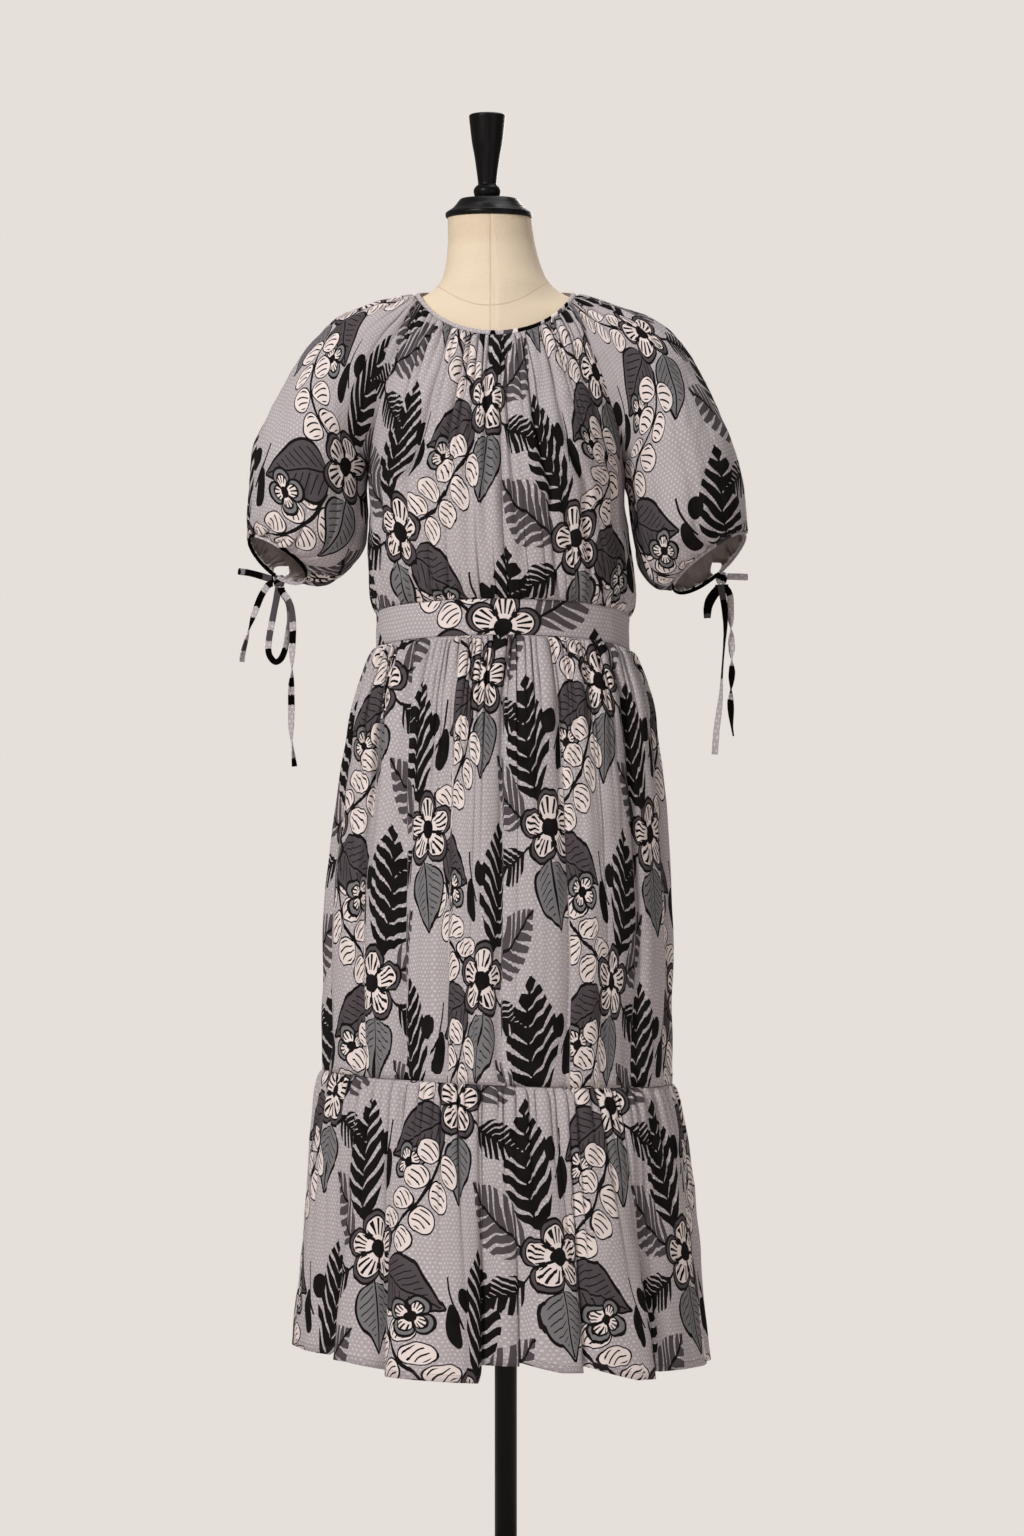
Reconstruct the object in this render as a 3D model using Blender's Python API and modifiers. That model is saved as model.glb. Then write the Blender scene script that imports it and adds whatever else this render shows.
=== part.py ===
# A midi dress with raglan puff sleeves, worn by a limbless dress form on a stand.
# Metres, +Z up. The front faces -Y and +X is the viewer's right. The origin is on
# the stand's axis, at the floor. Run with: blender --background --python part.py

import math
from collections import namedtuple

import bmesh
import bpy
from mathutils import Vector

OBJECT_NAME = "midi_dress_on_form"

# Cloth: one wall for every panel, a thicker one for folded bindings
CLOTH_WALL = 0.0012
BINDING_WALL = 0.0014
SEAM_GAP = 0.0003
SIDE_GAP = 0.0005
RAGLAN_GAP = 0.0007
WELD = 0.00001
LEVEL = Vector((0.0, 0.0, 1.0))

# Neck: the lower edge of the binding, a ring that dips in front
NECK_HALF_WIDTH = 0.0875
NECK_FRONT = 0.078
NECK_BACK = 0.062
NECK_SIDE_Z = 1.421
NECK_FRONT_DROP = 0.050
NECK_BACK_RISE = 0.012
NECK_BINDING_HEIGHT = 0.006
NECK_BINDING_COLUMNS = 56
NECK_LEAN_SIDE = 0.9
NECK_LEAN_ALONG = 0.5
NECK_FRONT_TURN = 65.0
NECK_BACK_TURN = 62.0

# Waistband: a straight band, its top edge lower at the sides and at the back
BAND_HALF_WIDTH = 0.1365
BAND_FRONT = 0.102
BAND_BACK = 0.092
BAND_HEIGHT = 0.038
BAND_FRONT_TOP = 1.0892
BAND_SIDE_DROP = 0.0148
BAND_SIDE_TILT = 0.0022
BAND_BACK_DROP = 0.007
BAND_COLUMNS = 24

# Skirt tiers: the seam between them and the hem, both a little lower at the right
TIER_SEAM_Z = 0.578
HEM_Z = 0.274
TIER_TILT = 0.008

# Sleeves and cuffs
SLEEVE_SWAY = -0.0113
ARMPIT_ROW = 6
CUFF_SAG = 0.0037
CUFF_BINDING_HEIGHT = 0.005
CUFF_SPLIT = math.radians(2)
SLIT_HEIGHT = 0.024
SLIT_TURN = {"left": 84.0, "right": 72.0}
SLEEVE_COLUMNS = 30
SLEEVE_NECK_GATHERS = 6
SLEEVE_MIDDLE_Z = 1.33

# Ties: flat strips of folded cloth, tied in a bow behind each cuff
TIE_WIDTH = 0.007
TIE_WALL = 0.0012
TIE_STEP = 0.009
KNOT_SIZE = (0.012, 0.009, 0.013)
KNOT_ROUNDING = 0.0016
KNOT_DROP = 0.0068
KNOT_SHIFT = {"left": 0.0015, "right": 0.0045}

# Gathers: two columns of faces for each, not quite even
GATHER_UNEVEN = 0.15
FRONT_GATHERS = 18
BACK_GATHERS = 15
SKIRT_GATHERS = 22
FLOUNCE_GATHERS = 24
FLOUNCE_FOLD_DEPTH = 0.0075

# Stand
POLE_RADIUS = 0.012
BASE_RADIUS = 0.170
FORM_FOOT_Z = 0.795
NECK_TOP_Z = 1.5036
ROUND_STEPS = 24
FINIAL_STEPS = 20
BASE_STEPS = 32

SwayRow = namedtuple("SwayRow", "z shift")
SWAY_ROWS = (  # the form leans: how far its middle stands from the stand's axis
    SwayRow(0.274, -0.005),
    SwayRow(0.588, -0.009),
    SwayRow(0.870, -0.006),
    SwayRow(1.088, -0.003),
    SwayRow(1.160, -0.008),
    SwayRow(1.300, -0.011),
    SwayRow(1.421, -0.011),
    SwayRow(1.506, -0.018),
    SwayRow(1.618, -0.020),
)

BodiceRow = namedtuple("BodiceRow", "mid_z mid_y edge_x edge_y edge_z sweep ease gather")
BODICE_FRONT_ROWS = (  # neck to waist; the first seven edges are the raglan seam
    BodiceRow(1.3710, -0.078, 0.0793, -0.0330, 1.4080, 65, 1.00, 0.0014),
    BodiceRow(1.3500, -0.090, 0.0910, -0.0460, 1.3850, 62, 0.95, 0.0014),
    BodiceRow(1.3220, -0.104, 0.1040, -0.0570, 1.3560, 60, 0.90, 0.0010),
    BodiceRow(1.2900, -0.117, 0.1170, -0.0630, 1.3200, 60, 0.85, 0.0008),
    BodiceRow(1.2580, -0.126, 0.1280, -0.0580, 1.2820, 66, 0.85, 0.0006),
    BodiceRow(1.2280, -0.130, 0.1350, -0.0360, 1.2520, 77, 0.85, 0.0006),
    BodiceRow(1.2050, -0.131, 0.1370, 0.0000, 1.2320, 90, 0.85, 0.0006),
    BodiceRow(1.1750, -0.129, 0.1360, 0.0000, 1.1900, 90, 0.85, 0.0008),
    BodiceRow(1.1450, -0.124, 0.1405, 0.0000, 1.1500, 90, 0.88, 0.0012),
    BodiceRow(1.1150, -0.116, 0.1420, 0.0000, 1.1120, 90, 0.94, 0.0022),
    BodiceRow(BAND_FRONT_TOP, -BAND_FRONT, BAND_HALF_WIDTH, 0.0, BAND_FRONT_TOP - BAND_SIDE_DROP,
              90, 1.00, 0.0024),
)
BODICE_BACK_ROWS = (
    BodiceRow(1.4330, 0.062, 0.0773, 0.0291, 1.4249, 62, 1.00, 0.0014),
    BodiceRow(1.4050, 0.078, 0.0900, 0.0440, 1.4030, 62, 0.95, 0.0014),
    BodiceRow(1.3700, 0.092, 0.1030, 0.0570, 1.3720, 60, 0.90, 0.0010),
    BodiceRow(1.3300, 0.103, 0.1160, 0.0630, 1.3320, 60, 0.85, 0.0008),
    BodiceRow(1.2900, 0.109, 0.1270, 0.0580, 1.2900, 66, 0.85, 0.0006),
    BodiceRow(1.2550, 0.112, 0.1350, 0.0360, 1.2560, 77, 0.85, 0.0006),
    BodiceRow(1.2200, 0.112, 0.1370, 0.0000, 1.2320, 90, 0.85, 0.0006),
    BodiceRow(1.1850, 0.110, 0.1360, 0.0000, 1.1900, 90, 0.85, 0.0008),
    BodiceRow(1.1480, 0.106, 0.1405, 0.0000, 1.1500, 90, 0.88, 0.0012),
    BodiceRow(1.1080, 0.101, 0.1420, 0.0000, 1.1120, 90, 0.94, 0.0022),
    BodiceRow(BAND_FRONT_TOP - BAND_SIDE_DROP - BAND_BACK_DROP, BAND_BACK, BAND_HALF_WIDTH, 0.0,
              BAND_FRONT_TOP - BAND_SIDE_DROP, 90, 1.00, 0.0024),
)

# Sleeve: the ridge along its top, the underarm line, its half depth front to back, how far
# the arch turns from the ridge to each edge, how far the back hangs lower than the front,
# and how deep its gathers are at the neck and at the cuff
SleeveRow = namedtuple("SleeveRow", "ridge_x ridge_z under_x under_z depth arch pitch neck_gather gather")
SLEEVE_ROWS = {
    "right": (
        SleeveRow(0.0875, 1.4210, 0.0790, 1.4080, 0.0340, 62, 0.000, 0.0010, 0.0000),
        SleeveRow(0.1120, 1.4170, 0.0910, 1.3850, 0.0500, 70, 0.000, 0.0012, 0.0000),
        SleeveRow(0.1400, 1.4080, 0.1040, 1.3560, 0.0590, 86, 0.000, 0.0008, 0.0000),
        SleeveRow(0.1700, 1.3940, 0.1170, 1.3200, 0.0670, 106, 0.000, 0.0004, 0.0002),
        SleeveRow(0.1980, 1.3700, 0.1280, 1.2820, 0.0750, 128, 0.000, 0.0000, 0.0004),
        SleeveRow(0.2230, 1.3350, 0.1350, 1.2520, 0.0800, 152, 0.000, 0.0000, 0.0005),
        SleeveRow(0.2430, 1.2960, 0.1376, 1.2320, 0.0840, 180, 0.000, 0.0000, 0.0006),
        SleeveRow(0.2580, 1.2620, 0.1425, 1.2050, 0.0860, 180, 0.002, 0.0000, 0.0007),
        SleeveRow(0.2660, 1.2250, 0.1470, 1.1680, 0.0870, 180, 0.004, 0.0000, 0.0009),
        SleeveRow(0.2680, 1.1900, 0.1560, 1.1310, 0.0830, 180, 0.007, 0.0000, 0.0014),
        SleeveRow(0.2680, 1.1720, 0.1740, 1.1080, 0.0640, 180, 0.012, 0.0000, 0.0026),
        SleeveRow(0.2690, 1.1620, 0.1900, 1.1075, 0.0410, 180, 0.0168, 0.0000, 0.0014),
    ),
    "left": (
        SleeveRow(0.0875, 1.4210, 0.0790, 1.4080, 0.0340, 62, 0.000, 0.0010, 0.0000),
        SleeveRow(0.1120, 1.4170, 0.0910, 1.3850, 0.0500, 70, 0.000, 0.0012, 0.0000),
        SleeveRow(0.1400, 1.4080, 0.1040, 1.3560, 0.0590, 86, 0.000, 0.0008, 0.0000),
        SleeveRow(0.1700, 1.3940, 0.1170, 1.3200, 0.0670, 106, 0.000, 0.0004, 0.0002),
        SleeveRow(0.1980, 1.3700, 0.1280, 1.2820, 0.0750, 128, 0.000, 0.0000, 0.0004),
        SleeveRow(0.2230, 1.3350, 0.1350, 1.2520, 0.0800, 152, 0.000, 0.0000, 0.0005),
        SleeveRow(0.2430, 1.2960, 0.1376, 1.2320, 0.0840, 180, 0.000, 0.0000, 0.0006),
        SleeveRow(0.2580, 1.2620, 0.1390, 1.2050, 0.0860, 180, 0.002, 0.0000, 0.0007),
        SleeveRow(0.2660, 1.2250, 0.1400, 1.1740, 0.0870, 180, 0.004, 0.0000, 0.0009),
        SleeveRow(0.2680, 1.1900, 0.1465, 1.1430, 0.0830, 180, 0.007, 0.0000, 0.0014),
        SleeveRow(0.2670, 1.1710, 0.1680, 1.1190, 0.0640, 180, 0.012, 0.0000, 0.0026),
        SleeveRow(0.2655, 1.1570, 0.2025, 1.1210, 0.0410, 180, 0.0168, 0.0000, 0.0014),
    ),
}

# Skirt and flounce: how far down the tier, its half width, its depth before and behind the
# middle, the depth of the gathers, and how much of the long folds shows there
TierRow = namedtuple("TierRow", "down half_width front back gather fold")
SKIRT_ROWS = (
    TierRow(0.00, 0.1375, 0.1040, 0.0940, 0.0022, 0.0),
    TierRow(0.05, 0.1465, 0.1130, 0.1080, 0.0026, 0.2),
    TierRow(0.14, 0.1610, 0.1260, 0.1310, 0.0024, 0.6),
    TierRow(0.28, 0.1705, 0.1360, 0.1440, 0.0020, 0.9),
    TierRow(0.45, 0.1800, 0.1450, 0.1510, 0.0015, 1.0),
    TierRow(0.66, 0.1880, 0.1520, 0.1560, 0.0012, 1.0),
    TierRow(0.85, 0.1890, 0.1560, 0.1590, 0.0010, 0.8),
    TierRow(1.00, 0.1880, 0.1580, 0.1600, 0.0012, 0.4),
)
FLOUNCE_ROWS = (
    TierRow(0.00, 0.1880, 0.1580, 0.1600, 0.0026, 0.0),
    TierRow(0.10, 0.1960, 0.1665, 0.1685, 0.0026, 0.2),
    TierRow(0.27, 0.2045, 0.1750, 0.1770, 0.0018, 0.5),
    TierRow(0.50, 0.2115, 0.1820, 0.1850, 0.0010, 0.75),
    TierRow(0.75, 0.2180, 0.1885, 0.1920, 0.0005, 0.9),
    TierRow(1.00, 0.2270, 0.1960, 0.1990, 0.0000, 1.0),
)

FoldLine = namedtuple("FoldLine", "turn depth width")
SKIRT_FOLDS = (  # long creases of the skirt, by their turn from the front towards the right
    FoldLine(-47, 0.0045, 5.0),
    FoldLine(-33, 0.0050, 4.5),
    FoldLine(2, 0.0060, 4.5),
    FoldLine(48, 0.0050, 5.0),
    FoldLine(118, 0.0045, 5.0),
    FoldLine(152, 0.0055, 4.5),
    FoldLine(186, 0.0050, 5.0),
    FoldLine(224, 0.0050, 5.0),
)
# Where the flounce folds in between its organ-pipe folds, all round
FLOUNCE_VALLEYS = (-90, -54, -35.5, -3.6, 6.9, 23.5, 47, 83, 108, 131, 152, 172, 196, 218, 243, 270)
FULL_FOLD_TURN = 22.0

TorsoRow = namedtuple("TorsoRow", "z half_width front back power")
TORSO_ROWS = (  # hip to neck; power 2 is an ellipse, less is slimmer at the shoulders
    TorsoRow(FORM_FOOT_Z, 0.148, 0.092, 0.092, 2.0),
    TorsoRow(0.803, 0.155, 0.102, 0.102, 2.0),
    TorsoRow(0.860, 0.158, 0.110, 0.112, 2.0),
    TorsoRow(0.930, 0.154, 0.110, 0.114, 2.0),
    TorsoRow(0.985, 0.143, 0.106, 0.105, 2.0),
    TorsoRow(1.020, 0.1290, 0.0955, 0.0875, 2.0),
    TorsoRow(1.040, 0.1315, 0.0975, 0.0880, 2.0),
    TorsoRow(1.055, 0.1345, 0.1000, 0.0900, 2.0),
    TorsoRow(1.068, 0.1315, 0.0975, 0.0865, 2.0),
    TorsoRow(1.090, 0.129, 0.0955, 0.084, 2.0),
    TorsoRow(1.140, 0.128, 0.103, 0.088, 2.1),
    TorsoRow(1.200, 0.127, 0.112, 0.094, 2.1),
    TorsoRow(1.250, 0.130, 0.111, 0.097, 2.0),
    TorsoRow(1.300, 0.142, 0.100, 0.092, 1.7),
    TorsoRow(1.340, 0.160, 0.086, 0.082, 1.45),
    TorsoRow(1.366, 0.169, 0.072, 0.074, 1.35),
    TorsoRow(1.384, 0.160, 0.064, 0.067, 1.30),
    TorsoRow(1.400, 0.131, 0.058, 0.060, 1.35),
    TorsoRow(1.411, 0.100, 0.0545, 0.056, 1.40),
    TorsoRow(1.421, 0.075, 0.052, 0.053, 1.65),
    TorsoRow(1.434, 0.059, 0.050, 0.051, 2.0),
    TorsoRow(1.452, 0.0515, 0.047, 0.049, 2.0),
    TorsoRow(1.478, 0.0468, 0.045, 0.046, 2.0),
    TorsoRow(NECK_TOP_Z, 0.045, 0.044, 0.045, 2.0),
)

TurnedPoint = namedtuple("TurnedPoint", "radius z")
CAP_PROFILE = (
    TurnedPoint(0.000, 1.5244),
    TurnedPoint(0.025, 1.5244),
    TurnedPoint(0.0365, 1.5170),
    TurnedPoint(0.0450, 1.5105),
    TurnedPoint(0.0470, 1.5080),
    TurnedPoint(0.0470, 1.5050),
    TurnedPoint(0.0460, 1.5039),
    TurnedPoint(0.000, 1.5039),
)
FINIAL_PROFILE = (
    TurnedPoint(0.0000, 1.6176),
    TurnedPoint(0.0120, 1.6170),
    TurnedPoint(0.0195, 1.6145),
    TurnedPoint(0.0188, 1.6050),
    TurnedPoint(0.0173, 1.5910),
    TurnedPoint(0.0160, 1.5820),
    TurnedPoint(0.0139, 1.5710),
    TurnedPoint(0.0115, 1.5540),
    TurnedPoint(0.0099, 1.5400),
    TurnedPoint(0.0132, 1.5368),
    TurnedPoint(0.0148, 1.5325),
    TurnedPoint(0.0140, 1.5280),
    TurnedPoint(0.0125, 1.5247),
    TurnedPoint(0.0000, 1.5247),
)
BASE_PROFILE = (
    TurnedPoint(0.0000, 0.0380),
    TurnedPoint(0.0240, 0.0380),
    TurnedPoint(0.0270, 0.0350),
    TurnedPoint(0.0290, 0.0230),
    TurnedPoint(0.0600, 0.0180),
    TurnedPoint(0.1200, 0.0145),
    TurnedPoint(0.1600, 0.0120),
    TurnedPoint(BASE_RADIUS, 0.0070),
    TurnedPoint(BASE_RADIUS, 0.0000),
    TurnedPoint(0.0000, 0.0000),
)

# Each tie's route, from its knot's middle, and the roll of its flat side away from the front
RoutePoint = namedtuple("RoutePoint", "x y z roll")
TIE_ROUTES = {
    "left": {
        "tie_loop_side": (
            RoutePoint(-0.0064, -0.0009, 0.0024, 0),
            RoutePoint(-0.0096, -0.0009, 0.0025, 0),
            RoutePoint(-0.0170, -0.0018, 0.0044, 0),
            RoutePoint(-0.0250, -0.0024, 0.0070, 0),
            RoutePoint(-0.0350, -0.0024, 0.0094, 0),
            RoutePoint(-0.0410, -0.0020, 0.0102, 0),
            RoutePoint(-0.0434, -0.0006, 0.0105, 0),
            RoutePoint(-0.0441, 0.0014, 0.0106, 0),
            RoutePoint(-0.0434, 0.0034, 0.0105, 0),
            RoutePoint(-0.0410, 0.0048, 0.0102, 0),
            RoutePoint(-0.0350, 0.0052, 0.0095, 0),
            RoutePoint(-0.0250, 0.0050, 0.0073, 0),
            RoutePoint(-0.0170, 0.0036, 0.0050, 0),
            RoutePoint(-0.0096, 0.0023, 0.0028, 0),
            RoutePoint(-0.0064, 0.0022, 0.0027, 0),
        ),
        "tie_loop_hang": (
            RoutePoint(-0.0012, 0.0000, -0.0069, 0),
            RoutePoint(-0.0014, 0.0000, -0.0102, 0),
            RoutePoint(-0.0030, 0.0002, -0.0200, 5),
            RoutePoint(-0.0076, 0.0003, -0.0440, 10),
            RoutePoint(-0.0101, 0.0004, -0.0578, 15),
            RoutePoint(-0.0118, 0.0006, -0.0718, 20),
            RoutePoint(-0.0102, 0.0012, -0.0815, 25),
            RoutePoint(-0.0042, 0.0020, -0.0880, 30),
            RoutePoint(0.0020, 0.0027, -0.0842, 30),
            RoutePoint(0.0064, 0.0034, -0.0734, 35),
            RoutePoint(0.0090, 0.0042, -0.0578, 40),
            RoutePoint(0.0114, 0.0050, -0.0404, 35),
            RoutePoint(0.0099, 0.0046, -0.0240, 20),
            RoutePoint(0.0044, 0.0030, -0.0140, 5),
            RoutePoint(0.0026, 0.0024, -0.0102, 0),
            RoutePoint(0.0024, 0.0024, -0.0069, 0),
        ),
        "tie_tail_a": (
            RoutePoint(-0.0064, -0.0034, -0.0028, 0),
            RoutePoint(-0.0094, -0.0034, -0.0030, 0),
            RoutePoint(-0.0145, -0.0036, -0.0080, 0),
            RoutePoint(-0.0200, -0.0040, -0.0180, 5),
            RoutePoint(-0.0240, -0.0042, -0.0283, 15),
            RoutePoint(-0.0284, -0.0040, -0.0404, 45),
            RoutePoint(-0.0325, -0.0036, -0.0527, 85),
            RoutePoint(-0.0356, -0.0032, -0.0647, 115),
            RoutePoint(-0.0388, -0.0030, -0.0767, 130),
            RoutePoint(-0.0406, -0.0030, -0.0882, 135),
        ),
        "tie_tail_b": (
            RoutePoint(0.0022, -0.0024, -0.0069, 0),
            RoutePoint(0.0025, -0.0024, -0.0102, 0),
            RoutePoint(0.0062, -0.0028, -0.0150, 10),
            RoutePoint(0.0108, -0.0032, -0.0215, 35),
            RoutePoint(0.0142, -0.0034, -0.0310, 40),
            RoutePoint(0.0152, -0.0034, -0.0473, 10),
            RoutePoint(0.0148, -0.0032, -0.0647, 0),
            RoutePoint(0.0142, -0.0030, -0.0821, 45),
            RoutePoint(0.0142, -0.0028, -0.0996, 100),
            RoutePoint(0.0134, -0.0026, -0.1170, 155),
            RoutePoint(0.0134, -0.0024, -0.1345, 180),
            RoutePoint(0.0130, -0.0024, -0.1517, 200),
            RoutePoint(0.0134, -0.0022, -0.1691, 245),
            RoutePoint(0.0151, -0.0022, -0.1865, 290),
            RoutePoint(0.0168, -0.0022, -0.2021, 315),
        ),
    },
    "right": {
        "tie_loop_side": (
            RoutePoint(0.0064, -0.0012, 0.0012, 0),
            RoutePoint(0.0096, -0.0012, 0.0013, 0),
            RoutePoint(0.0150, -0.0020, 0.0015, 0),
            RoutePoint(0.0210, -0.0024, 0.0012, 0),
            RoutePoint(0.0252, -0.0020, 0.0010, 0),
            RoutePoint(0.0274, -0.0006, 0.0009, 0),
            RoutePoint(0.0281, 0.0012, 0.0009, 0),
            RoutePoint(0.0274, 0.0030, 0.0009, 0),
            RoutePoint(0.0252, 0.0044, 0.0010, 0),
            RoutePoint(0.0210, 0.0048, 0.0012, 0),
            RoutePoint(0.0150, 0.0036, 0.0015, 0),
            RoutePoint(0.0096, 0.0022, 0.0016, 0),
            RoutePoint(0.0064, 0.0021, 0.0016, 0),
        ),
        "tie_loop_hang": (
            RoutePoint(-0.0034, 0.0000, -0.0073, 0),
            RoutePoint(-0.0036, 0.0000, -0.0104, 0),
            RoutePoint(-0.0090, -0.0002, -0.0165, 0),
            RoutePoint(-0.0140, -0.0004, -0.0243, 0),
            RoutePoint(-0.0160, -0.0006, -0.0330, 0),
            RoutePoint(-0.0160, -0.0004, -0.0385, 0),
            RoutePoint(-0.0157, 0.0006, -0.0415, 0),
            RoutePoint(-0.0154, 0.0026, -0.0426, 0),
            RoutePoint(-0.0150, 0.0046, -0.0415, 0),
            RoutePoint(-0.0146, 0.0057, -0.0385, 0),
            RoutePoint(-0.0132, 0.0060, -0.0310, 0),
            RoutePoint(-0.0092, 0.0052, -0.0225, 0),
            RoutePoint(-0.0042, 0.0040, -0.0150, 0),
            RoutePoint(-0.0006, 0.0026, -0.0102, 0),
            RoutePoint(-0.0002, 0.0025, -0.0069, 0),
        ),
        "tie_tail_a": (
            RoutePoint(-0.0006, -0.0024, -0.0069, 0),
            RoutePoint(-0.0006, -0.0024, -0.0102, 0),
            RoutePoint(0.0002, -0.0026, -0.0155, 0),
            RoutePoint(0.0020, -0.0030, -0.0235, 10),
            RoutePoint(0.0036, -0.0034, -0.0361, 30),
            RoutePoint(0.0042, -0.0036, -0.0529, 60),
            RoutePoint(0.0029, -0.0036, -0.0728, 80),
            RoutePoint(0.0014, -0.0034, -0.0929, 85),
            RoutePoint(0.0003, -0.0032, -0.1096, 80),
            RoutePoint(-0.0008, -0.0030, -0.1295, 60),
            RoutePoint(-0.0030, -0.0028, -0.1480, 35),
            RoutePoint(-0.0056, -0.0026, -0.1681, 25),
            RoutePoint(-0.0073, -0.0026, -0.1923, 15),
        ),
        "tie_tail_b": (
            RoutePoint(0.0040, 0.0000, -0.0069, 0),
            RoutePoint(0.0042, 0.0000, -0.0102, 0),
            RoutePoint(0.0078, -0.0004, -0.0155, 0),
            RoutePoint(0.0096, -0.0006, -0.0226, 0),
            RoutePoint(0.0100, -0.0006, -0.0346, 0),
            RoutePoint(0.0102, -0.0006, -0.0440, 30),
            RoutePoint(0.0106, -0.0006, -0.0550, 90),
            RoutePoint(0.0111, -0.0006, -0.0720, 180),
            RoutePoint(0.0109, -0.0006, -0.0886, 270),
            RoutePoint(0.0113, -0.0006, -0.1040, 360),
            RoutePoint(0.0106, -0.0006, -0.1210, 450),
            RoutePoint(0.0099, -0.0006, -0.1380, 540),
            RoutePoint(0.0110, -0.0006, -0.1580, 610),
            RoutePoint(0.0128, -0.0006, -0.1723, 630),
        ),
    },
}

Finish = namedtuple("Finish", "color roughness metallic")
FINISHES = {
    "printed_cotton": Finish((0.42, 0.38, 0.38), 0.85, 0.0),
    "binding": Finish((0.16, 0.13, 0.13), 0.85, 0.0),
    "linen_cover": Finish((0.80, 0.74, 0.66), 0.90, 0.0),
    "black_wood": Finish((0.015, 0.014, 0.014), 0.35, 0.0),
    "black_metal": Finish((0.012, 0.012, 0.012), 0.40, 0.6),
}


# ---- scene, materials and objects ------------------------------------------------------------

def clear_scene():
    for obj in list(bpy.data.objects):
        bpy.data.objects.remove(obj, do_unlink=True)


def make_materials():
    materials = {}
    for name, finish in FINISHES.items():
        material = bpy.data.materials.new(name)
        material.use_nodes = True
        shader = material.node_tree.nodes["Principled BSDF"]
        shader.inputs["Base Color"].default_value = (*finish.color, 1.0)
        shader.inputs["Roughness"].default_value = finish.roughness
        shader.inputs["Metallic"].default_value = finish.metallic
        materials[name] = material
    return materials


def add_object(name, bm, material, smooth=True):
    mesh = bpy.data.meshes.new(name)
    bm.to_mesh(mesh)
    bm.free()
    mesh.materials.append(material)
    if smooth:
        mesh.shade_smooth()
        mesh.set_sharp_from_angle(angle=math.radians(45))
    obj = bpy.data.objects.new(name, mesh)
    collection.objects.link(obj)
    return obj


def add_wall(obj, thickness, offset=-1.0):
    solidify = obj.modifiers.new("Wall", "SOLIDIFY")
    solidify.thickness = thickness
    solidify.offset = offset


# ---- reading the tables ----------------------------------------------------------------------

def row_at(rows, place):
    """The row at a fractional place in a table, on a smooth curve through its rows."""
    place = min(max(place, 0.0), len(rows) - 1.0)
    index = min(int(place), len(rows) - 2)
    t = place - index
    before = rows[max(index - 1, 0)]
    start = rows[index]
    end = rows[index + 1]
    after = rows[min(index + 2, len(rows) - 1)]
    values = []
    for p0, p1, p2, p3 in zip(before, start, end, after):
        slope_in = (p2 - p0) / 2
        slope_out = (p3 - p1) / 2
        values.append(
            (2 * t**3 - 3 * t**2 + 1) * p1 + (t**3 - 2 * t**2 + t) * slope_in
            + (3 * t**2 - 2 * t**3) * p2 + (t**3 - t**2) * slope_out)
    return type(start)(*values)


def sway(z):
    for low, high in zip(SWAY_ROWS, SWAY_ROWS[1:]):
        if z <= high.z:
            t = max(0.0, (z - low.z) / (high.z - low.z))
            return low.shift + (high.shift - low.shift) * t
    return SWAY_ROWS[-1].shift


def swayed(point):
    return Vector((point.x + sway(point.z), point.y, point.z))


# ---- surfaces: each gives a point of the cloth's outer side, u across and v down ----------------

def neck_ring(turn, rise=0.0):
    """The neck binding at a turn from the front: 0 is its lower edge, 1 its upper edge."""
    side = math.sin(turn)
    ahead = math.cos(turn)
    front = max(ahead, 0.0)
    back = max(-ahead, 0.0)
    seam = Vector((
        NECK_HALF_WIDTH * side,
        -NECK_FRONT * front + NECK_BACK * back,
        NECK_SIDE_Z - NECK_FRONT_DROP * front**1.5 + NECK_BACK_RISE * back**1.5,
    ))
    lean_in = Vector((
        -NECK_LEAN_SIDE * math.copysign(abs(side) ** 8, side),
        NECK_LEAN_ALONG * math.tanh(3 * ahead),
        0.0,
    ))
    lean_in.z = math.sqrt(1 - lean_in.length_squared)
    return swayed(seam) + lean_in * (NECK_BINDING_HEIGHT * rise)


def band_top(turn):
    front = 1 - max(math.cos(turn), 0.0)
    back = max(-math.cos(turn), 0.0)
    side = BAND_SIDE_DROP + BAND_SIDE_TILT * math.sin(turn)
    return BAND_FRONT_TOP - side * front - BAND_BACK_DROP * back


def bodice_base(rows, u, v):
    row = row_at(rows, v)
    sweep = math.radians(min(row.sweep, 90.0))
    turn = u * sweep
    ease = max(0.0, (math.cos(turn) - math.cos(sweep)) / (1 - math.cos(sweep)))
    near_band = max(0.0, v - len(rows) + 3) / 2
    waist = rows[-1]
    waist_z = waist.edge_z + (waist.mid_z - waist.edge_z) * ease
    band_z = band_top(turn if rows is BODICE_FRONT_ROWS else math.pi - turn)
    return swayed(Vector((
        row.edge_x * math.sin(turn) / math.sin(sweep),
        row.edge_y + (row.mid_y - row.edge_y) * ease ** row.ease,
        row.edge_z + (row.mid_z - row.edge_z) * ease + (band_z - waist_z) * near_band,
    )))


def bodice_point(rows, u, v):
    point = bodice_base(rows, u, v)
    if v < 1:
        if rows is BODICE_FRONT_ROWS:
            on_ring = neck_ring(u * math.radians(NECK_FRONT_TURN))
        else:
            on_ring = neck_ring(math.pi - u * math.radians(NECK_BACK_TURN))
        point += (on_ring - bodice_base(rows, u, 0.0)) * (1 - v) ** 2
    return point


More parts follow.
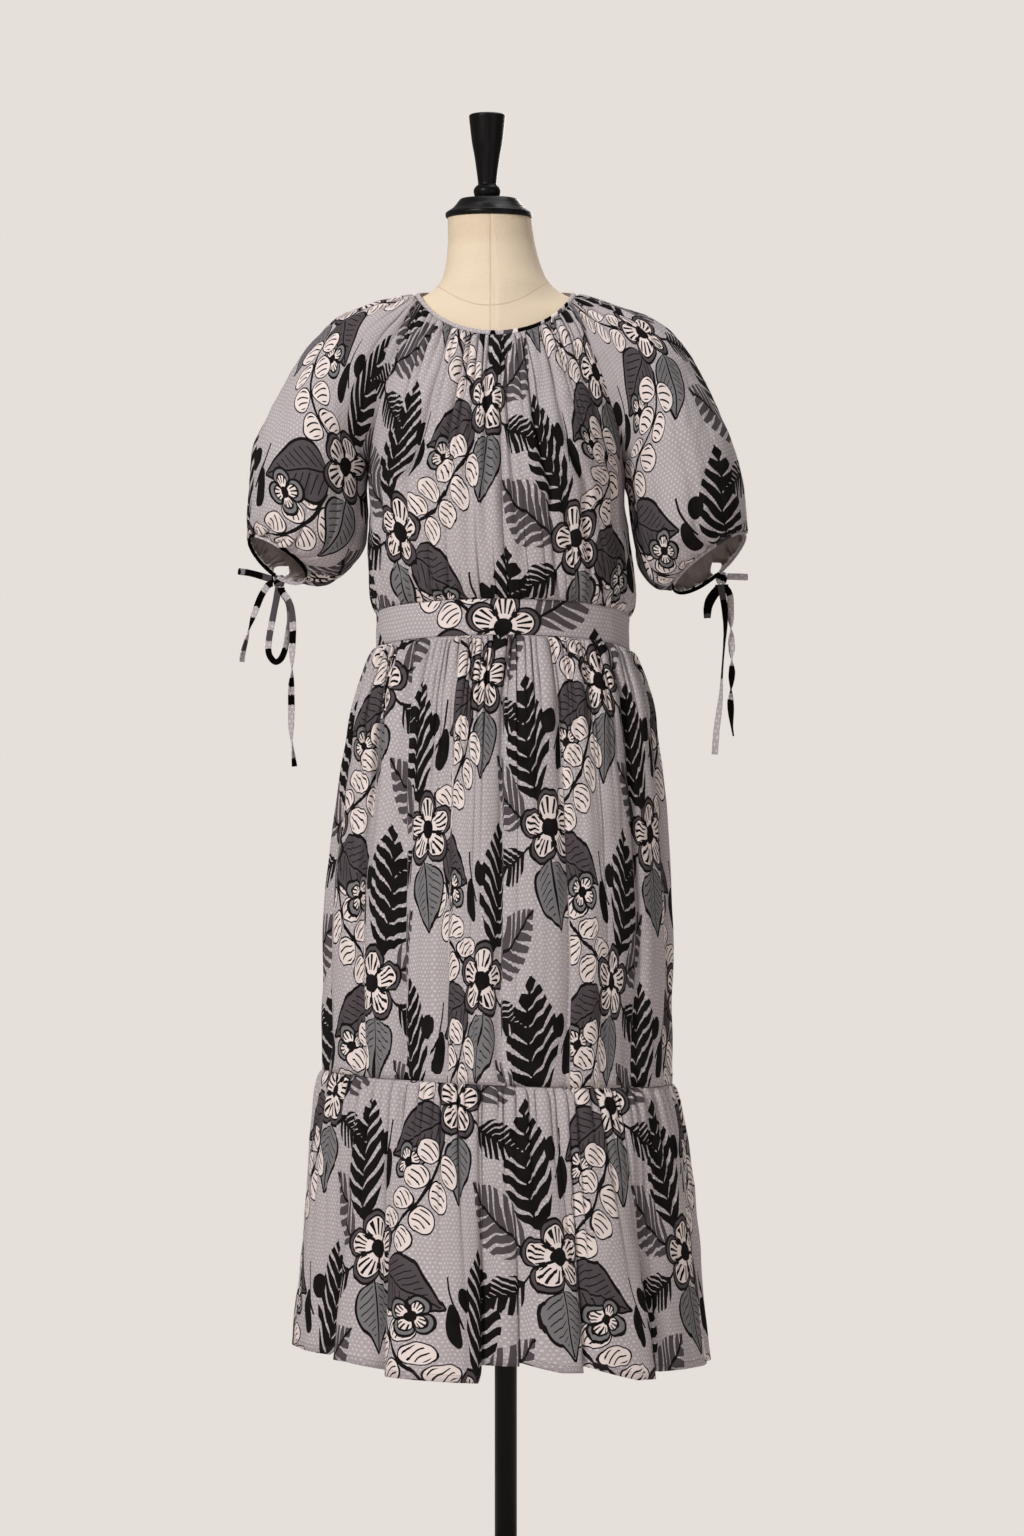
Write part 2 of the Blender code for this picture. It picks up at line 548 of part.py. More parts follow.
def sleeve_edge(side, u, v):
    """The raglan seam above the armpit, or the underarm line below it."""
    sign = 1 if side == "right" else -1
    if v < ARMPIT_ROW:
        row = row_at(BODICE_FRONT_ROWS if u < 0 else BODICE_BACK_ROWS, v)
        return swayed(Vector((sign * row.edge_x, row.edge_y, row.edge_z)))
    row = row_at(SLEEVE_ROWS[side], v)
    under = Vector((sign * row.under_x + SLEEVE_SWAY, 0.0, row.under_z))
    corner = BODICE_FRONT_ROWS[ARMPIT_ROW]
    armpit = swayed(Vector((sign * (corner.edge_x + SEAM_GAP), 0.0, corner.edge_z)))
    return under.lerp(armpit, max(0.0, 1 - (v - ARMPIT_ROW)))


def sleeve_base(side, u, v):
    sign = 1 if side == "right" else -1
    row = row_at(SLEEVE_ROWS[side], v)
    half = -1 if u < 0 else 1
    arch = math.radians(min(row.arch, 180.0))
    alpha = abs(u) * arch
    ridge = Vector((sign * row.ridge_x + SLEEVE_SWAY, 0.0, row.ridge_z))
    edge = sleeve_edge(side, u, v)
    reach = Vector((edge.x - ridge.x, 0.0, edge.z - ridge.z))
    point = ridge + reach * ((1 - math.cos(alpha)) / (1 - math.cos(arch)))
    point.y += half * row.depth * math.sin(alpha)
    point.z -= half * row.pitch * math.sin(alpha)
    if v > ARMPIT_ROW:
        fall = (v - ARMPIT_ROW) / (len(SLEEVE_ROWS[side]) - 1 - ARMPIT_ROW)
        point.z -= CUFF_SAG * fall**2 * math.sin(alpha) ** 2
    end = ridge + reach
    end.y += half * row.depth * math.sin(arch)
    return point + (edge - end) * abs(u) ** 4


def sleeve_point(side, u, v):
    point = sleeve_base(side, u, v)
    if v < 1:
        turn = math.radians(90 + u * (90 - NECK_FRONT_TURN if u < 0 else 90 - NECK_BACK_TURN))
        on_ring = neck_ring(turn if side == "right" else -turn)
        point += (on_ring - sleeve_base(side, u, 0.0)) * (1 - v) ** 2
    return point


def tier_point(rows, top, bottom, turn, v):
    row = row_at(rows, v)
    front = max(math.cos(turn), 0.0)
    back = max(-math.cos(turn), 0.0)
    return swayed(Vector((
        row.half_width * math.sin(turn),
        -row.front * front + row.back * back,
        top(turn) + (bottom(turn) - top(turn)) * row.down,
    )))


def band_point(turn, down):
    z = band_top(turn) - BAND_HEIGHT * down
    depth = BAND_FRONT if math.cos(turn) > 0 else BAND_BACK
    return swayed(Vector((BAND_HALF_WIDTH * math.sin(turn), -depth * math.cos(turn), z)))


def cuff_axis(side):
    """The direction in which the cuff opens."""
    row = SLEEVE_ROWS[side][-1]
    sign = 1 if side == "right" else -1
    chord = Vector((sign * (row.under_x - row.ridge_x), 0.0, row.under_z - row.ridge_z))
    across = Vector((0.0, row.depth, -row.pitch))
    axis = chord.cross(across).normalized()
    return -axis if axis.z > 0 else axis


def cuff_point(side, alpha, fall):
    """The cuff binding: its seam with the sleeve, and fall times its height below that."""
    last = len(SLEEVE_ROWS[side]) - 1
    point = sleeve_base(side, math.degrees(alpha) / 180, last)
    return point + cuff_axis(side) * (CUFF_BINDING_HEIGHT * fall)


# ---- long folds and gathers ------------------------------------------------------------------

def skirt_fold(turn):
    depth = 0.0
    for fold in SKIRT_FOLDS:
        away = (math.degrees(turn) - fold.turn + 180) % 360 - 180
        depth += fold.depth * math.exp(-(away / fold.width) ** 2)
    return -depth


def flounce_fold(turn):
    degrees = (math.degrees(turn) + 90) % 360 - 90
    for start, end in zip(FLOUNCE_VALLEYS, FLOUNCE_VALLEYS[1:]):
        if start <= degrees <= end:
            t = (degrees - start) / (end - start)
            fullness = min(1.0, (end - start) / FULL_FOLD_TURN)
            return FLOUNCE_FOLD_DEPTH * fullness * (1 - 2 * math.cos(math.pi * t) ** 2) - \
                FLOUNCE_FOLD_DEPTH * (1 - fullness)
    return 0.0


def zigzag(u, count):
    """Out at one column of faces and in at the next, less near the side seams."""
    fade = min(1.0, (1 - abs(u)) * count / 4)
    uneven = 1 - GATHER_UNEVEN + GATHER_UNEVEN * math.sin(u * count * 1.7)
    return math.cos(math.pi * count * (u + 1)) * fade * uneven


# ---- panels ----------------------------------------------------------------------------------

def make_panel(columns, rows, surface, relief, middle, gaps, seam_axes=(None, None)):
    """A wall of cloth on a grid: surface(u, v) is its outer side, relief(u, v) how far it
    stands out there, middle(point) a point inside the garment, and gaps the width that is
    left at its sides, top and bottom, for the seams. The gathers in the first and the last
    row stand square to the axis of the piece they are sewn to, where seam_axes gives one."""
    side_gap, top_gap, bottom_gap = gaps
    step = 1e-4

    def place(u, v):
        along = (surface(min(u + step, 1), v) - surface(max(u - step, -1), v)) / \
            (min(u + step, 1) - max(u - step, -1))
        down = (surface(u, min(v + step, rows)) - surface(u, max(v - step, 0))) / \
            (min(v + step, rows) - max(v - step, 0))
        return surface(u, v), along, down

    bm = bmesh.new()
    bmesh.ops.create_grid(bm, x_segments=columns, y_segments=rows, size=1.0)
    for vert in bm.verts:
        u = round((vert.co.x + 1) * columns / 2) * 2 / columns - 1
        v = round((1 - vert.co.y) * rows / 2)
        point, along, down = place(u, v)
        normal = along.cross(down).normalized()
        if normal.dot(point - middle(point)) < 0:
            normal = -normal
        axis = seam_axes[0] if v == 0 else seam_axes[1] if v == rows else None
        if axis:
            normal = (normal - axis * normal.dot(axis)).normalized()
        point = point + normal * relief(u, v)
        if abs(u) > 1 - 1e-6:
            gap = side_gap(v) if callable(side_gap) else side_gap
            point -= along.normalized() * math.copysign(gap, u)
        if v == 0:
            point += down.normalized() * top_gap
        if v == rows:
            point -= down.normalized() * bottom_gap
        vert.co = point
    bmesh.ops.remove_doubles(bm, verts=bm.verts, dist=WELD)
    face_outward(bm, middle)
    return bm


def face_outward(bm, middle):
    bm.normal_update()
    outward = 0.0
    for face in bm.faces:
        centre = face.calc_center_median()
        outward += face.normal.dot(centre - middle(centre))
    if outward < 0:
        bmesh.ops.reverse_faces(bm, faces=bm.faces)


def axis_middle(point):
    return Vector((sway(point.z), 0.0, point.z))


def make_bodice(name, rows, gathers, material):
    def relief(u, v):
        return row_at(rows, v).gather * zigzag(u, gathers)

    def side_gap(v):
        return RAGLAN_GAP / 2 if v < ARMPIT_ROW else SIDE_GAP / 2

    bm = make_panel(2 * gathers, len(rows) - 1, lambda u, v: bodice_point(rows, u, v),
                    relief, axis_middle, (side_gap, RAGLAN_GAP, SEAM_GAP), (None, LEVEL))
    add_wall(add_object(name, bm, material), CLOTH_WALL)


def make_sleeve(side, material):
    rows = SLEEVE_ROWS[side]
    last = len(rows) - 1
    sign = 1 if side == "right" else -1

    def relief(u, v):
        row = row_at(rows, v)
        top = row.neck_gather * math.cos(math.pi * SLEEVE_NECK_GATHERS * (u + 1))
        top *= min(1.0, (1 - abs(u)) * SLEEVE_NECK_GATHERS)
        return top + row.gather * zigzag(u, SLEEVE_COLUMNS / 2)

    def side_gap(v):
        return RAGLAN_GAP / 2 if v < ARMPIT_ROW else 0.0

    def middle(point):
        z = point.z
        row = min(rows, key=lambda r: abs(r.ridge_z + r.under_z - 2 * z))
        x = sign * (row.ridge_x + row.under_x) / 2 + SLEEVE_SWAY
        return Vector((x, 0.0, min(z, SLEEVE_MIDDLE_Z)))

    bm = make_panel(SLEEVE_COLUMNS, last, lambda u, v: sleeve_point(side, u, v),
                    relief, middle, (side_gap, RAGLAN_GAP, RAGLAN_GAP), (None, cuff_axis(side)))
    open_slit(bm, side)
    add_wall(add_object("sleeve_" + side, bm, material), CLOTH_WALL)


def open_slit(bm, side):
    """Lifts the point of the cuff's edge at the slit, which leaves a notch in the cloth."""
    foot = cuff_point(side, math.radians(SLIT_TURN[side]), 0.0)
    vert = min(bm.verts, key=lambda v: (v.co - foot).length)
    above = [edge.other_vert(vert) for edge in vert.link_edges if len(edge.link_faces) == 2]
    head = above[0]
    vert.co += (head.co - vert.co).normalized() * SLIT_HEIGHT


def make_neck_binding(material):
    bm = bmesh.new()
    bmesh.ops.create_grid(bm, x_segments=NECK_BINDING_COLUMNS, y_segments=1, size=1.0)
    for vert in bm.verts:
        vert.co = neck_ring(vert.co.x * math.pi, (vert.co.y + 1) / 2)
    bmesh.ops.remove_doubles(bm, verts=bm.verts, dist=WELD)
    add_wall(add_object("neck_binding", bm, material), BINDING_WALL)


def make_cuff_binding(side, material):
    slit = math.radians(SLIT_TURN[side])
    bm = bmesh.new()
    bmesh.ops.create_grid(bm, x_segments=SLEEVE_COLUMNS, y_segments=1, size=1.0)
    for vert in bm.verts:
        alpha = slit + math.pi + vert.co.x * (math.pi - CUFF_SPLIT)
        alpha = (alpha + math.pi) % (2 * math.pi) - math.pi
        vert.co = cuff_point(side, alpha, (1 - vert.co.y) / 2)
    centre = sum((vert.co for vert in bm.verts), Vector()) / len(bm.verts)
    face_outward(bm, lambda point: centre)
    add_wall(add_object("cuff_binding_" + side, bm, material), BINDING_WALL)


def make_band(name, start, material):
    bm = make_panel(BAND_COLUMNS, 2, lambda u, v: band_point(start + u * math.pi / 2, v / 2),
                    lambda u, v: 0.0, axis_middle, (SIDE_GAP / 2, 0.0, 0.0))
    add_wall(add_object(name, bm, material), CLOTH_WALL)


def make_tier(name, rows, gathers, folds, top, bottom, start, material):
    def relief(u, v):
        row = row_at(rows, v)
        return row.gather * zigzag(u, gathers) + row.fold * folds(start + u * math.pi / 2)

    bm = make_panel(2 * gathers, len(rows) - 1,
                    lambda u, v: tier_point(rows, top, bottom, start + u * math.pi / 2, v),
                    relief, axis_middle, (SIDE_GAP / 2, SEAM_GAP, 0.0), (LEVEL, LEVEL))
    add_wall(add_object(name, bm, material), CLOTH_WALL)


# ---- ties ------------------------------------------------------------------------------------

def knot_place(side):
    seam = cuff_point(side, math.radians(SLIT_TURN[side]), 0.0)
    return seam + Vector((KNOT_SHIFT[side], SEAM_GAP + KNOT_SIZE[1] / 2, -KNOT_DROP))


def make_knot(side, material):
    bm = bmesh.new()
    bmesh.ops.create_cube(bm, size=1.0)
    bmesh.ops.scale(bm, verts=bm.verts, vec=KNOT_SIZE)
    obj = add_object("tie_knot_" + side, bm, material)
    obj.location = knot_place(side)
    bevel = obj.modifiers.new("Round", "BEVEL")
    bevel.width = KNOT_ROUNDING
    bevel.segments = 1


def tie_frames(route, steps):
    """Points along a route with the direction of the strip's width there, which lies across
    the view from the front, and is carried along where a loop turns away from the viewer."""
    frames = []
    flat = None
    near = 0.05
    last = len(route) - 1
    for step in range(steps + 1):
        place = step * last / steps
        here = row_at(route, place)
        ahead = Vector(row_at(route, place + near)[:3])
        behind = Vector(row_at(route, place - near)[:3])
        tangent = (ahead - behind).normalized()
        across = tangent.cross(Vector((0.0, 1.0, 0.0)))
        if flat is None:
            flat = across
        elif across.length > 0.5:
            flat = across if across.dot(flat) > 0 else -across
        flat = (flat - tangent * flat.dot(tangent)).normalized()
        roll = math.radians(here.roll)
        width = flat * math.cos(roll) + tangent.cross(flat) * math.sin(roll)
        frames.append((Vector(here[:3]), width))
    return frames


def make_tie(side, name, route, material):
    length = sum((Vector(b[:3]) - Vector(a[:3])).length for a, b in zip(route, route[1:]))
    steps = max(round(length / TIE_STEP), len(route) - 1)
    frames = tie_frames(route, steps)
    knot = knot_place(side)
    bm = bmesh.new()
    bmesh.ops.create_grid(bm, x_segments=1, y_segments=steps, size=1.0)
    for vert in bm.verts:
        middle, width = frames[round((vert.co.y + 1) / 2 * steps)]
        vert.co = knot + middle + width * (vert.co.x * TIE_WIDTH / 2)
    add_wall(add_object(name + "_" + side, bm, material), TIE_WALL, offset=0.0)


# ---- form and stand --------------------------------------------------------------------------

def make_torso(material):
    bm = bmesh.new()
    last = len(TORSO_ROWS) - 1
    bmesh.ops.create_grid(bm, x_segments=ROUND_STEPS, y_segments=last, size=1.0)
    for vert in bm.verts:
        row = TORSO_ROWS[round((vert.co.y + 1) / 2 * last)]
        turn = vert.co.x * math.pi
        side = math.sin(turn)
        ahead = math.cos(turn)
        depth = row.front if ahead > 0 else row.back
        vert.co = swayed(Vector((
            math.copysign(abs(side) ** (2 / row.power), side) * row.half_width,
            -math.copysign(abs(ahead) ** (2 / row.power), ahead) * depth,
            row.z,
        )))
    bmesh.ops.remove_doubles(bm, verts=bm.verts, dist=WELD)
    bmesh.ops.holes_fill(bm, edges=[edge for edge in bm.edges if edge.is_boundary])
    bmesh.ops.recalc_face_normals(bm, faces=bm.faces)
    add_object("form_torso", bm, material)


def make_turned(name, profile, x, steps, material):
    bm = bmesh.new()
    points = [bm.verts.new((point.radius, 0.0, point.z)) for point in profile]
    for start, end in zip(points, points[1:]):
        bm.edges.new((start, end))
    obj = add_object(name, bm, material, smooth=False)
    obj.location.x = x
    screw = obj.modifiers.new("Turn", "SCREW")
    screw.steps = steps
    screw.render_steps = steps
    screw.use_merge_vertices = True
    screw.merge_threshold = 0.0001


def make_pole(material):
    foot = BASE_PROFILE[0].z + SEAM_GAP
    head = FORM_FOOT_Z - SEAM_GAP
    bm = bmesh.new()
    bmesh.ops.create_cone(bm, cap_ends=True, segments=ROUND_STEPS, radius1=POLE_RADIUS,
                          radius2=POLE_RADIUS, depth=head - foot)
    obj = add_object("stand_pole", bm, material)
    obj.location.z = (foot + head) / 2


# ---- the whole object ------------------------------------------------------------------------

clear_scene()
collection = bpy.data.collections.new(OBJECT_NAME)
bpy.context.scene.collection.children.link(collection)
materials = make_materials()
cloth = materials["printed_cotton"]
binding = materials["binding"]


def band_bottom(turn):
    return band_top(turn) - BAND_HEIGHT


def tier_seam(turn):
    return TIER_SEAM_Z - TIER_TILT * math.sin(turn)


def hem(turn):
    return HEM_Z - TIER_TILT * math.sin(turn)


make_torso(materials["linen_cover"])
make_turned("form_cap", CAP_PROFILE, sway(CAP_PROFILE[0].z), ROUND_STEPS, materials["black_wood"])
make_turned("form_finial", FINIAL_PROFILE, sway(FINIAL_PROFILE[0].z), FINIAL_STEPS,
            materials["black_wood"])
make_pole(materials["black_metal"])
make_turned("stand_base", BASE_PROFILE, 0.0, BASE_STEPS, materials["black_metal"])

make_neck_binding(binding)
make_bodice("bodice_front", BODICE_FRONT_ROWS, FRONT_GATHERS, cloth)
make_bodice("bodice_back", BODICE_BACK_ROWS, BACK_GATHERS, cloth)
for half_name, half_start in (("front", 0.0), ("back", math.pi)):
    make_band("waistband_" + half_name, half_start, cloth)
    make_tier("skirt_" + half_name, SKIRT_ROWS, SKIRT_GATHERS, skirt_fold,
              band_bottom, tier_seam, half_start, cloth)
    make_tier("flounce_" + half_name, FLOUNCE_ROWS, FLOUNCE_GATHERS, flounce_fold,
              tier_seam, hem, half_start, cloth)
for sleeve_side, routes in TIE_ROUTES.items():
    make_sleeve(sleeve_side, cloth)
    make_cuff_binding(sleeve_side, binding)
    make_knot(sleeve_side, binding)
    for tie_name, tie_route in routes.items():
        make_tie(sleeve_side, tie_name, tie_route, binding)
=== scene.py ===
import math
import random
from bisect import bisect_right
from collections import namedtuple

import bmesh
import bpy
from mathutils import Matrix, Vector, noise


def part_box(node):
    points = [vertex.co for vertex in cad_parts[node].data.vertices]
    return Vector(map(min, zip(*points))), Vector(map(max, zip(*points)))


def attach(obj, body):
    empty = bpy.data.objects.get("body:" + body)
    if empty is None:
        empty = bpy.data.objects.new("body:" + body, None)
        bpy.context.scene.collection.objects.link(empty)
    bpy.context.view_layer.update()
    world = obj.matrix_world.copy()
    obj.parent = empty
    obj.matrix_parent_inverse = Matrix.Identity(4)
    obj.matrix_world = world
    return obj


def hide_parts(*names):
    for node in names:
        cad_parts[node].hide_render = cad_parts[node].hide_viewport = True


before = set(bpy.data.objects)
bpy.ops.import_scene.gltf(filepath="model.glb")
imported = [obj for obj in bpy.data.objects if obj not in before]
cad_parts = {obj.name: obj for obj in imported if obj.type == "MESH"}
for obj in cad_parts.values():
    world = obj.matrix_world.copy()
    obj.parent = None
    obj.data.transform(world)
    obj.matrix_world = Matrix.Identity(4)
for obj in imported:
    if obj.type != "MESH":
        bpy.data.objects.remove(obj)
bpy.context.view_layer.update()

scene = bpy.context.scene

# The camera stands level, straight before the dress, as far off as the photo's was
view = {"x": 0.0067, "height": 0.910, "distance": 5.0, "shows": 1.659, "sensor": 36.0}

cameraData = bpy.data.cameras.new("camera")
cameraData.sensor_width = view["sensor"]
cameraData.lens = view["sensor"] * view["distance"] / view["shows"]
camera = bpy.data.objects.new("camera", cameraData)
camera.location = (view["x"], -view["distance"], view["height"])
camera.rotation_euler = (math.radians(90), 0, 0)
scene.collection.objects.link(camera)
scene.camera = camera
scene.view_settings.view_transform = "Standard"
print("camera placed")


def meshObject(name, bm, *materials, smoothAngle=60):
    mesh = bpy.data.meshes.new(name)
    bm.to_mesh(mesh)
    bm.free()
    mesh.shade_smooth()
    mesh.set_sharp_from_angle(angle=math.radians(smoothAngle))
    for material in materials:
        mesh.materials.append(material)
    piece = bpy.data.objects.new(name, mesh)
    scene.collection.objects.link(piece)
    return piece


def standFor(piece, slot, node):
    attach(piece, "root")
    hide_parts(node)


def thicken(piece, wall, lining=0, offset=-1.0):  # lining is the material of the inner face
    solidify = piece.modifiers.new("wall", "SOLIDIFY")
    solidify.thickness = wall
    solidify.offset = offset
    solidify.material_offset = lining


def softenEdges(piece, width):
    bevel = piece.modifiers.new("edge", "BEVEL")
    bevel.width = width
    bevel.segments = 2
    bevel.limit_method = "ANGLE"


def layCut(bm, name, place):
    # a UV map in metres on the flat cut
    layer = bm.loops.layers.uv.new(name)
    for face in bm.faces:
        for loop in face.loops:
            loop[layer].uv = place(loop.vert)


def closeShell(bm):
    bmesh.ops.remove_doubles(bm, verts=bm.verts, dist=0.00001)
    bmesh.ops.holes_fill(bm, edges=[edge for edge in bm.edges if edge.is_boundary])
    bmesh.ops.recalc_face_normals(bm, faces=bm.faces)


class Field:  # a value on a material's node sheet, so that a pattern reads as plain sums
    def __init__(self, tree, socket):
        self.tree = tree
        self.socket = socket

    def sheet(self, operation, *others):
        node = self.tree.nodes.new("ShaderNodeMath")
        node.operation = operation
        for place, value in enumerate((self, *others)):
            if isinstance(value, Field):
                self.tree.links.new(value.socket, node.inputs[place])
            else:
                node.inputs[place].default_value = value
        return Field(self.tree, node.outputs[0])

    def __add__(self, other):
        return self.sheet("ADD", other)

    def __sub__(self, other):
        return self.sheet("SUBTRACT", other)

    def __mul__(self, other):
        return self.sheet("MULTIPLY", other)

    def __truediv__(self, other):
        return self.sheet("DIVIDE", other)

    def __lt__(self, other):
        return self.sheet("LESS_THAN", other)

    def __gt__(self, other):
        return self.sheet("GREATER_THAN", other)

    def __or__(self, other):
        return self.sheet("MAXIMUM", other)

    def __abs__(self):
        return self.sheet("ABSOLUTE")

    def wrapped(self, width):
        return self.sheet("WRAP", width / 2, -width / 2)

    def fract(self):
        return self.sheet("FRACT")

    def limited(self, most):
        return self.sheet("MAXIMUM", 0.0).sheet("MINIMUM", most)


def mixColours(tree, mask, under, over):
    node = tree.nodes.new("ShaderNodeMix")
    node.data_type = "RGBA"
    for socket, value in ((node.inputs[0], mask), (node.inputs[6], under), (node.inputs[7], over)):
        if isinstance(value, Field):
            tree.links.new(value.socket, socket)
        elif isinstance(value, (tuple, list)):
            socket.default_value = (*value, 1.0)
        else:
            tree.links.new(value, socket)
    return node.outputs[2]


# The cloth's print, in centimetres on the cut cloth: a plain dotted ground with tossed fronds,
# blooms, leaves, sprigs and pods, in a half-drop repeat
cottonPrint = {
    "ground": (0.420, 0.372, 0.380),
    "dot": (0.620, 0.575, 0.585),
    "black": (0.0030, 0.0018, 0.0018),
    "darkGrey": (0.078, 0.064, 0.069),
    "midGrey": (0.185, 0.176, 0.182),
    "cream": (0.790, 0.690, 0.655),
    "tile": (27.0, 32.0),
    "dotPitch": 0.50,
    "dotSize": 0.105,
    "speckSize": 0.026,
    "speckStrength": 0.35,
    "line": 0.160,
    "bloomSize": 4.1,
    "petalVeins": 5,
    "frondLength": 13.5,
    "frondBend": 0.26,
    "leaflets": 8.0,
    "spine": 0.16,
    "leafLength": 8.6,
    "leafVeins": 9.0,
    "wobble": 0.40,
    "wobbleSize": 0.34,
    "thread": 0.07,
    "threadHeight": 0.06,
    # the cloth's back: paler of its own, and lightened further as painted light for the shaded inside of the
    # dress
    "back": (0.80, 0.69, 0.63),
    "faded": (0.52, 0.46, 0.47),
}
# The hem's row of stitches: millimetres above the edge, stitches a centimetre, and their look
hemStitch = {"height": 7.5, "halfWidth": 0.32, "pitch": 3.6, "drawn": 0.74, "shade": 0.55, "fold": 0.10}


def motifSpace(across, down, place, turn, mirror):
    # the motif's own x and y, in every tile
    x = (across - place[0]).wrapped(cottonPrint["tile"][0])
    y = (down - place[1]).wrapped(cottonPrint["tile"][1])
    cosine = math.cos(math.radians(turn))
    sine = math.sin(math.radians(turn))
    along = x * cosine + y * sine
    beside = y * (-cosine if mirror else cosine) + x * (sine if mirror else -sine)
    return along, beside


def ellipse(x, y, halfWidth, halfHeight):
    wide = x * (1 / halfWidth)
    high = y * (1 / halfHeight)
    return wide * wide + high * high


def inkBlack(tree, mask, colour):
    return mixColours(tree, mask, colour, cottonPrint["black"])


def paintBloom(tree, colour, x, y, size, petals, inner, rim):
    line = cottonPrint["line"]
    radius = (x * x + y * y).sheet("SQRT")
    turn = y.sheet("ARCTAN2", x) * (petals / (2 * math.pi))
    away = abs((turn + 0.5).fract() - 0.5)
    beyond = radius - (away * away * -1.5 + 1.0) * size
    colour = inkBlack(tree, beyond < line * 1.2, colour)
    colour = mixColours(tree, beyond < -line * 0.8, colour, rim)
    colour = inkBlack(tree, beyond < -line * 3.2, colour)
    colour = mixColours(tree, beyond < -line * 4.6, colour, inner)
    vein = abs((turn * cottonPrint["petalVeins"] + 0.5).fract() - 0.5) < 0.21
    vein = vein * (radius > size * 0.36) * (beyond < -size * 0.22)
    seam = ((away * -1 + 0.5) * radius * (2 * math.pi / petals) < line) * (beyond < 0.0)
    heart = radius < size * 0.24
    return inkBlack(tree, vein | seam | heart, colour)


def paintFrond(tree, colour, x, y, length, halfWidth, ink):
    bent = y - x * x * (cottonPrint["frondBend"] / length)
    side = abs(bent)
    along = x * (1 / length)
    reach = (along * along * -1 + along) * (4 * halfWidth)
    leaflet = abs(((x - side * 0.8) * (cottonPrint["leaflets"] / length)).fract() - 0.5)
    blade = leaflet + (side / reach) * 0.20 < 0.465
    blade = blade * (side < reach) * (x > 0.0) * (x < length)
    spine = (side < cottonPrint["spine"]) * (x > -1.6) * (x < length)
    colour = mixColours(tree, blade, colour, ink)
    return inkBlack(tree, spine, colour)


def paintLeaf(tree, colour, x, y, length, halfWidth, ink):
    line = cottonPrint["line"]
    side = abs(y)
    along = x * (1 / length)
    rise = along.sheet("MAXIMUM", 0.0).sheet("POWER", 0.62)
    reach = (rise * math.pi).sheet("SINE") * halfWidth
    inside = reach - side
    within = (x > 0.0) * (x < length)
    colour = inkBlack(tree, (inside > -line) * within, colour)
    colour = mixColours(tree, (inside > line) * within, colour, ink)
    vein = ((x - side * 0.9) * (cottonPrint["leafVeins"] / length)).fract() < 0.17
    vein = vein * (side > 0.35) * (inside > halfWidth * 0.22)
    rib = (side < 0.10) * (x > -1.3)
    return inkBlack(tree, (vein | rib) * (x < length * 0.94) * (x > -1.3), colour)


def paintSprig(tree, colour, x, y, leaves, pitch):
    line = cottonPrint["line"]
    length = leaves * pitch
    bent = y - (x * (math.pi / length)).sheet("SINE")
    within = (x > 0.0) * (x < length)
    middle = (x * (1 / pitch)).fract() * pitch - pitch / 2
    side = abs(bent) - 1.75
    shape = ellipse(middle + side * 0.25, side, pitch * 0.46, 1.62)
    colour = inkBlack(tree, (shape < 1.0) * within, colour)
    colour = mixColours(tree, (shape < 0.80) * within, colour, cottonPrint["cream"])
    hatch = abs((middle * 1.5 + side * side * 0.30).fract() - 0.5) < 0.13
    hatch = hatch * (shape < 0.55) * (side < 0.9)
    stem = (abs(bent) < line * 1.2) * (x < length + 0.9) * (x > -0.6)
    return inkBlack(tree, hatch * within | stem, colour)


def paintPods(tree, colour, x, y):
    bent = x - y * y * 0.05
    pod = ellipse(bent, y, 0.85, 2.3) < 1.0
    bud = ellipse(x - 2.3, y - 2.4, 0.95, 1.3) < 1.0
    stem = abs(bent - 1.1 + y * 0.32) < 0.13
    stem = stem * (y > -0.4) * (y < 5.2)
    return inkBlack(tree, pod | bud | stem, colour)


def dottedGround(tree, across, down):
    pitch = cottonPrint["dotPitch"]
    fine = pitch / 4
    size = cottonPrint["dotSize"]
    fleck = cottonPrint["speckSize"]
    one = ellipse(across.wrapped(pitch), down.wrapped(pitch * 1.7), size, size) < 1.0
    two = ellipse((across + pitch / 2).wrapped(pitch), (down + pitch * 0.85).wrapped(pitch * 1.7), size,
                  size) < 1.0
    speck = ellipse(across.wrapped(fine), (down + fine / 2).wrapped(fine), fleck, fleck) < 1.0
    light = one | two | speck * cottonPrint["speckStrength"]
    return mixColours(tree, light, cottonPrint["ground"], cottonPrint["dot"])


def printColour(tree, across, down):
    colour = dottedGround(tree, across, down)
    black = cottonPrint["black"]
    grey = cottonPrint["darkGrey"]
    middle = cottonPrint["midGrey"]
    cream = cottonPrint["cream"]
    frond = cottonPrint["frondLength"]
    leaf = cottonPrint["leafLength"]
    for drop in (False, True):
        def space(x, y, turn):  # the second copy is mirrored, half a tile across and down
            if drop:
                x = cottonPrint["tile"][0] / 2 - x
                y = cottonPrint["tile"][1] / 2 + y
            return motifSpace(across, down, (x, y), 180 - turn if drop else turn, drop)

        colour = paintSprig(tree, colour, *space(-3.2, 1.5, 128), 4, 3.0)
        colour = paintFrond(tree, colour, *space(1.6, 2.6, 70), frond, 3.6, black)
        colour = paintFrond(tree, colour, *space(3.0, 0.6, 26), frond * 0.76, 3.1, grey)
        colour = paintLeaf(tree, colour, *space(-2.8, -1.8, 208), leaf, 3.0, grey)
        colour = paintLeaf(tree, colour, *space(0.2, -3.6, 262), leaf * 0.86, 2.4, middle)
        colour = paintFrond(tree, colour, *space(3.4, -2.4, 326), frond * 0.50, 2.2, black)
        colour = paintPods(tree, colour, *space(-2.2, 8.4, 14))
        colour = paintBloom(tree, colour, *space(0.0, 0.0, 12), cottonPrint["bloomSize"], 5, cream, grey)
        colour = paintBloom(tree, colour, *space(-7.4, -6.6, 30), 2.3, 4, cream, middle)
    return colour


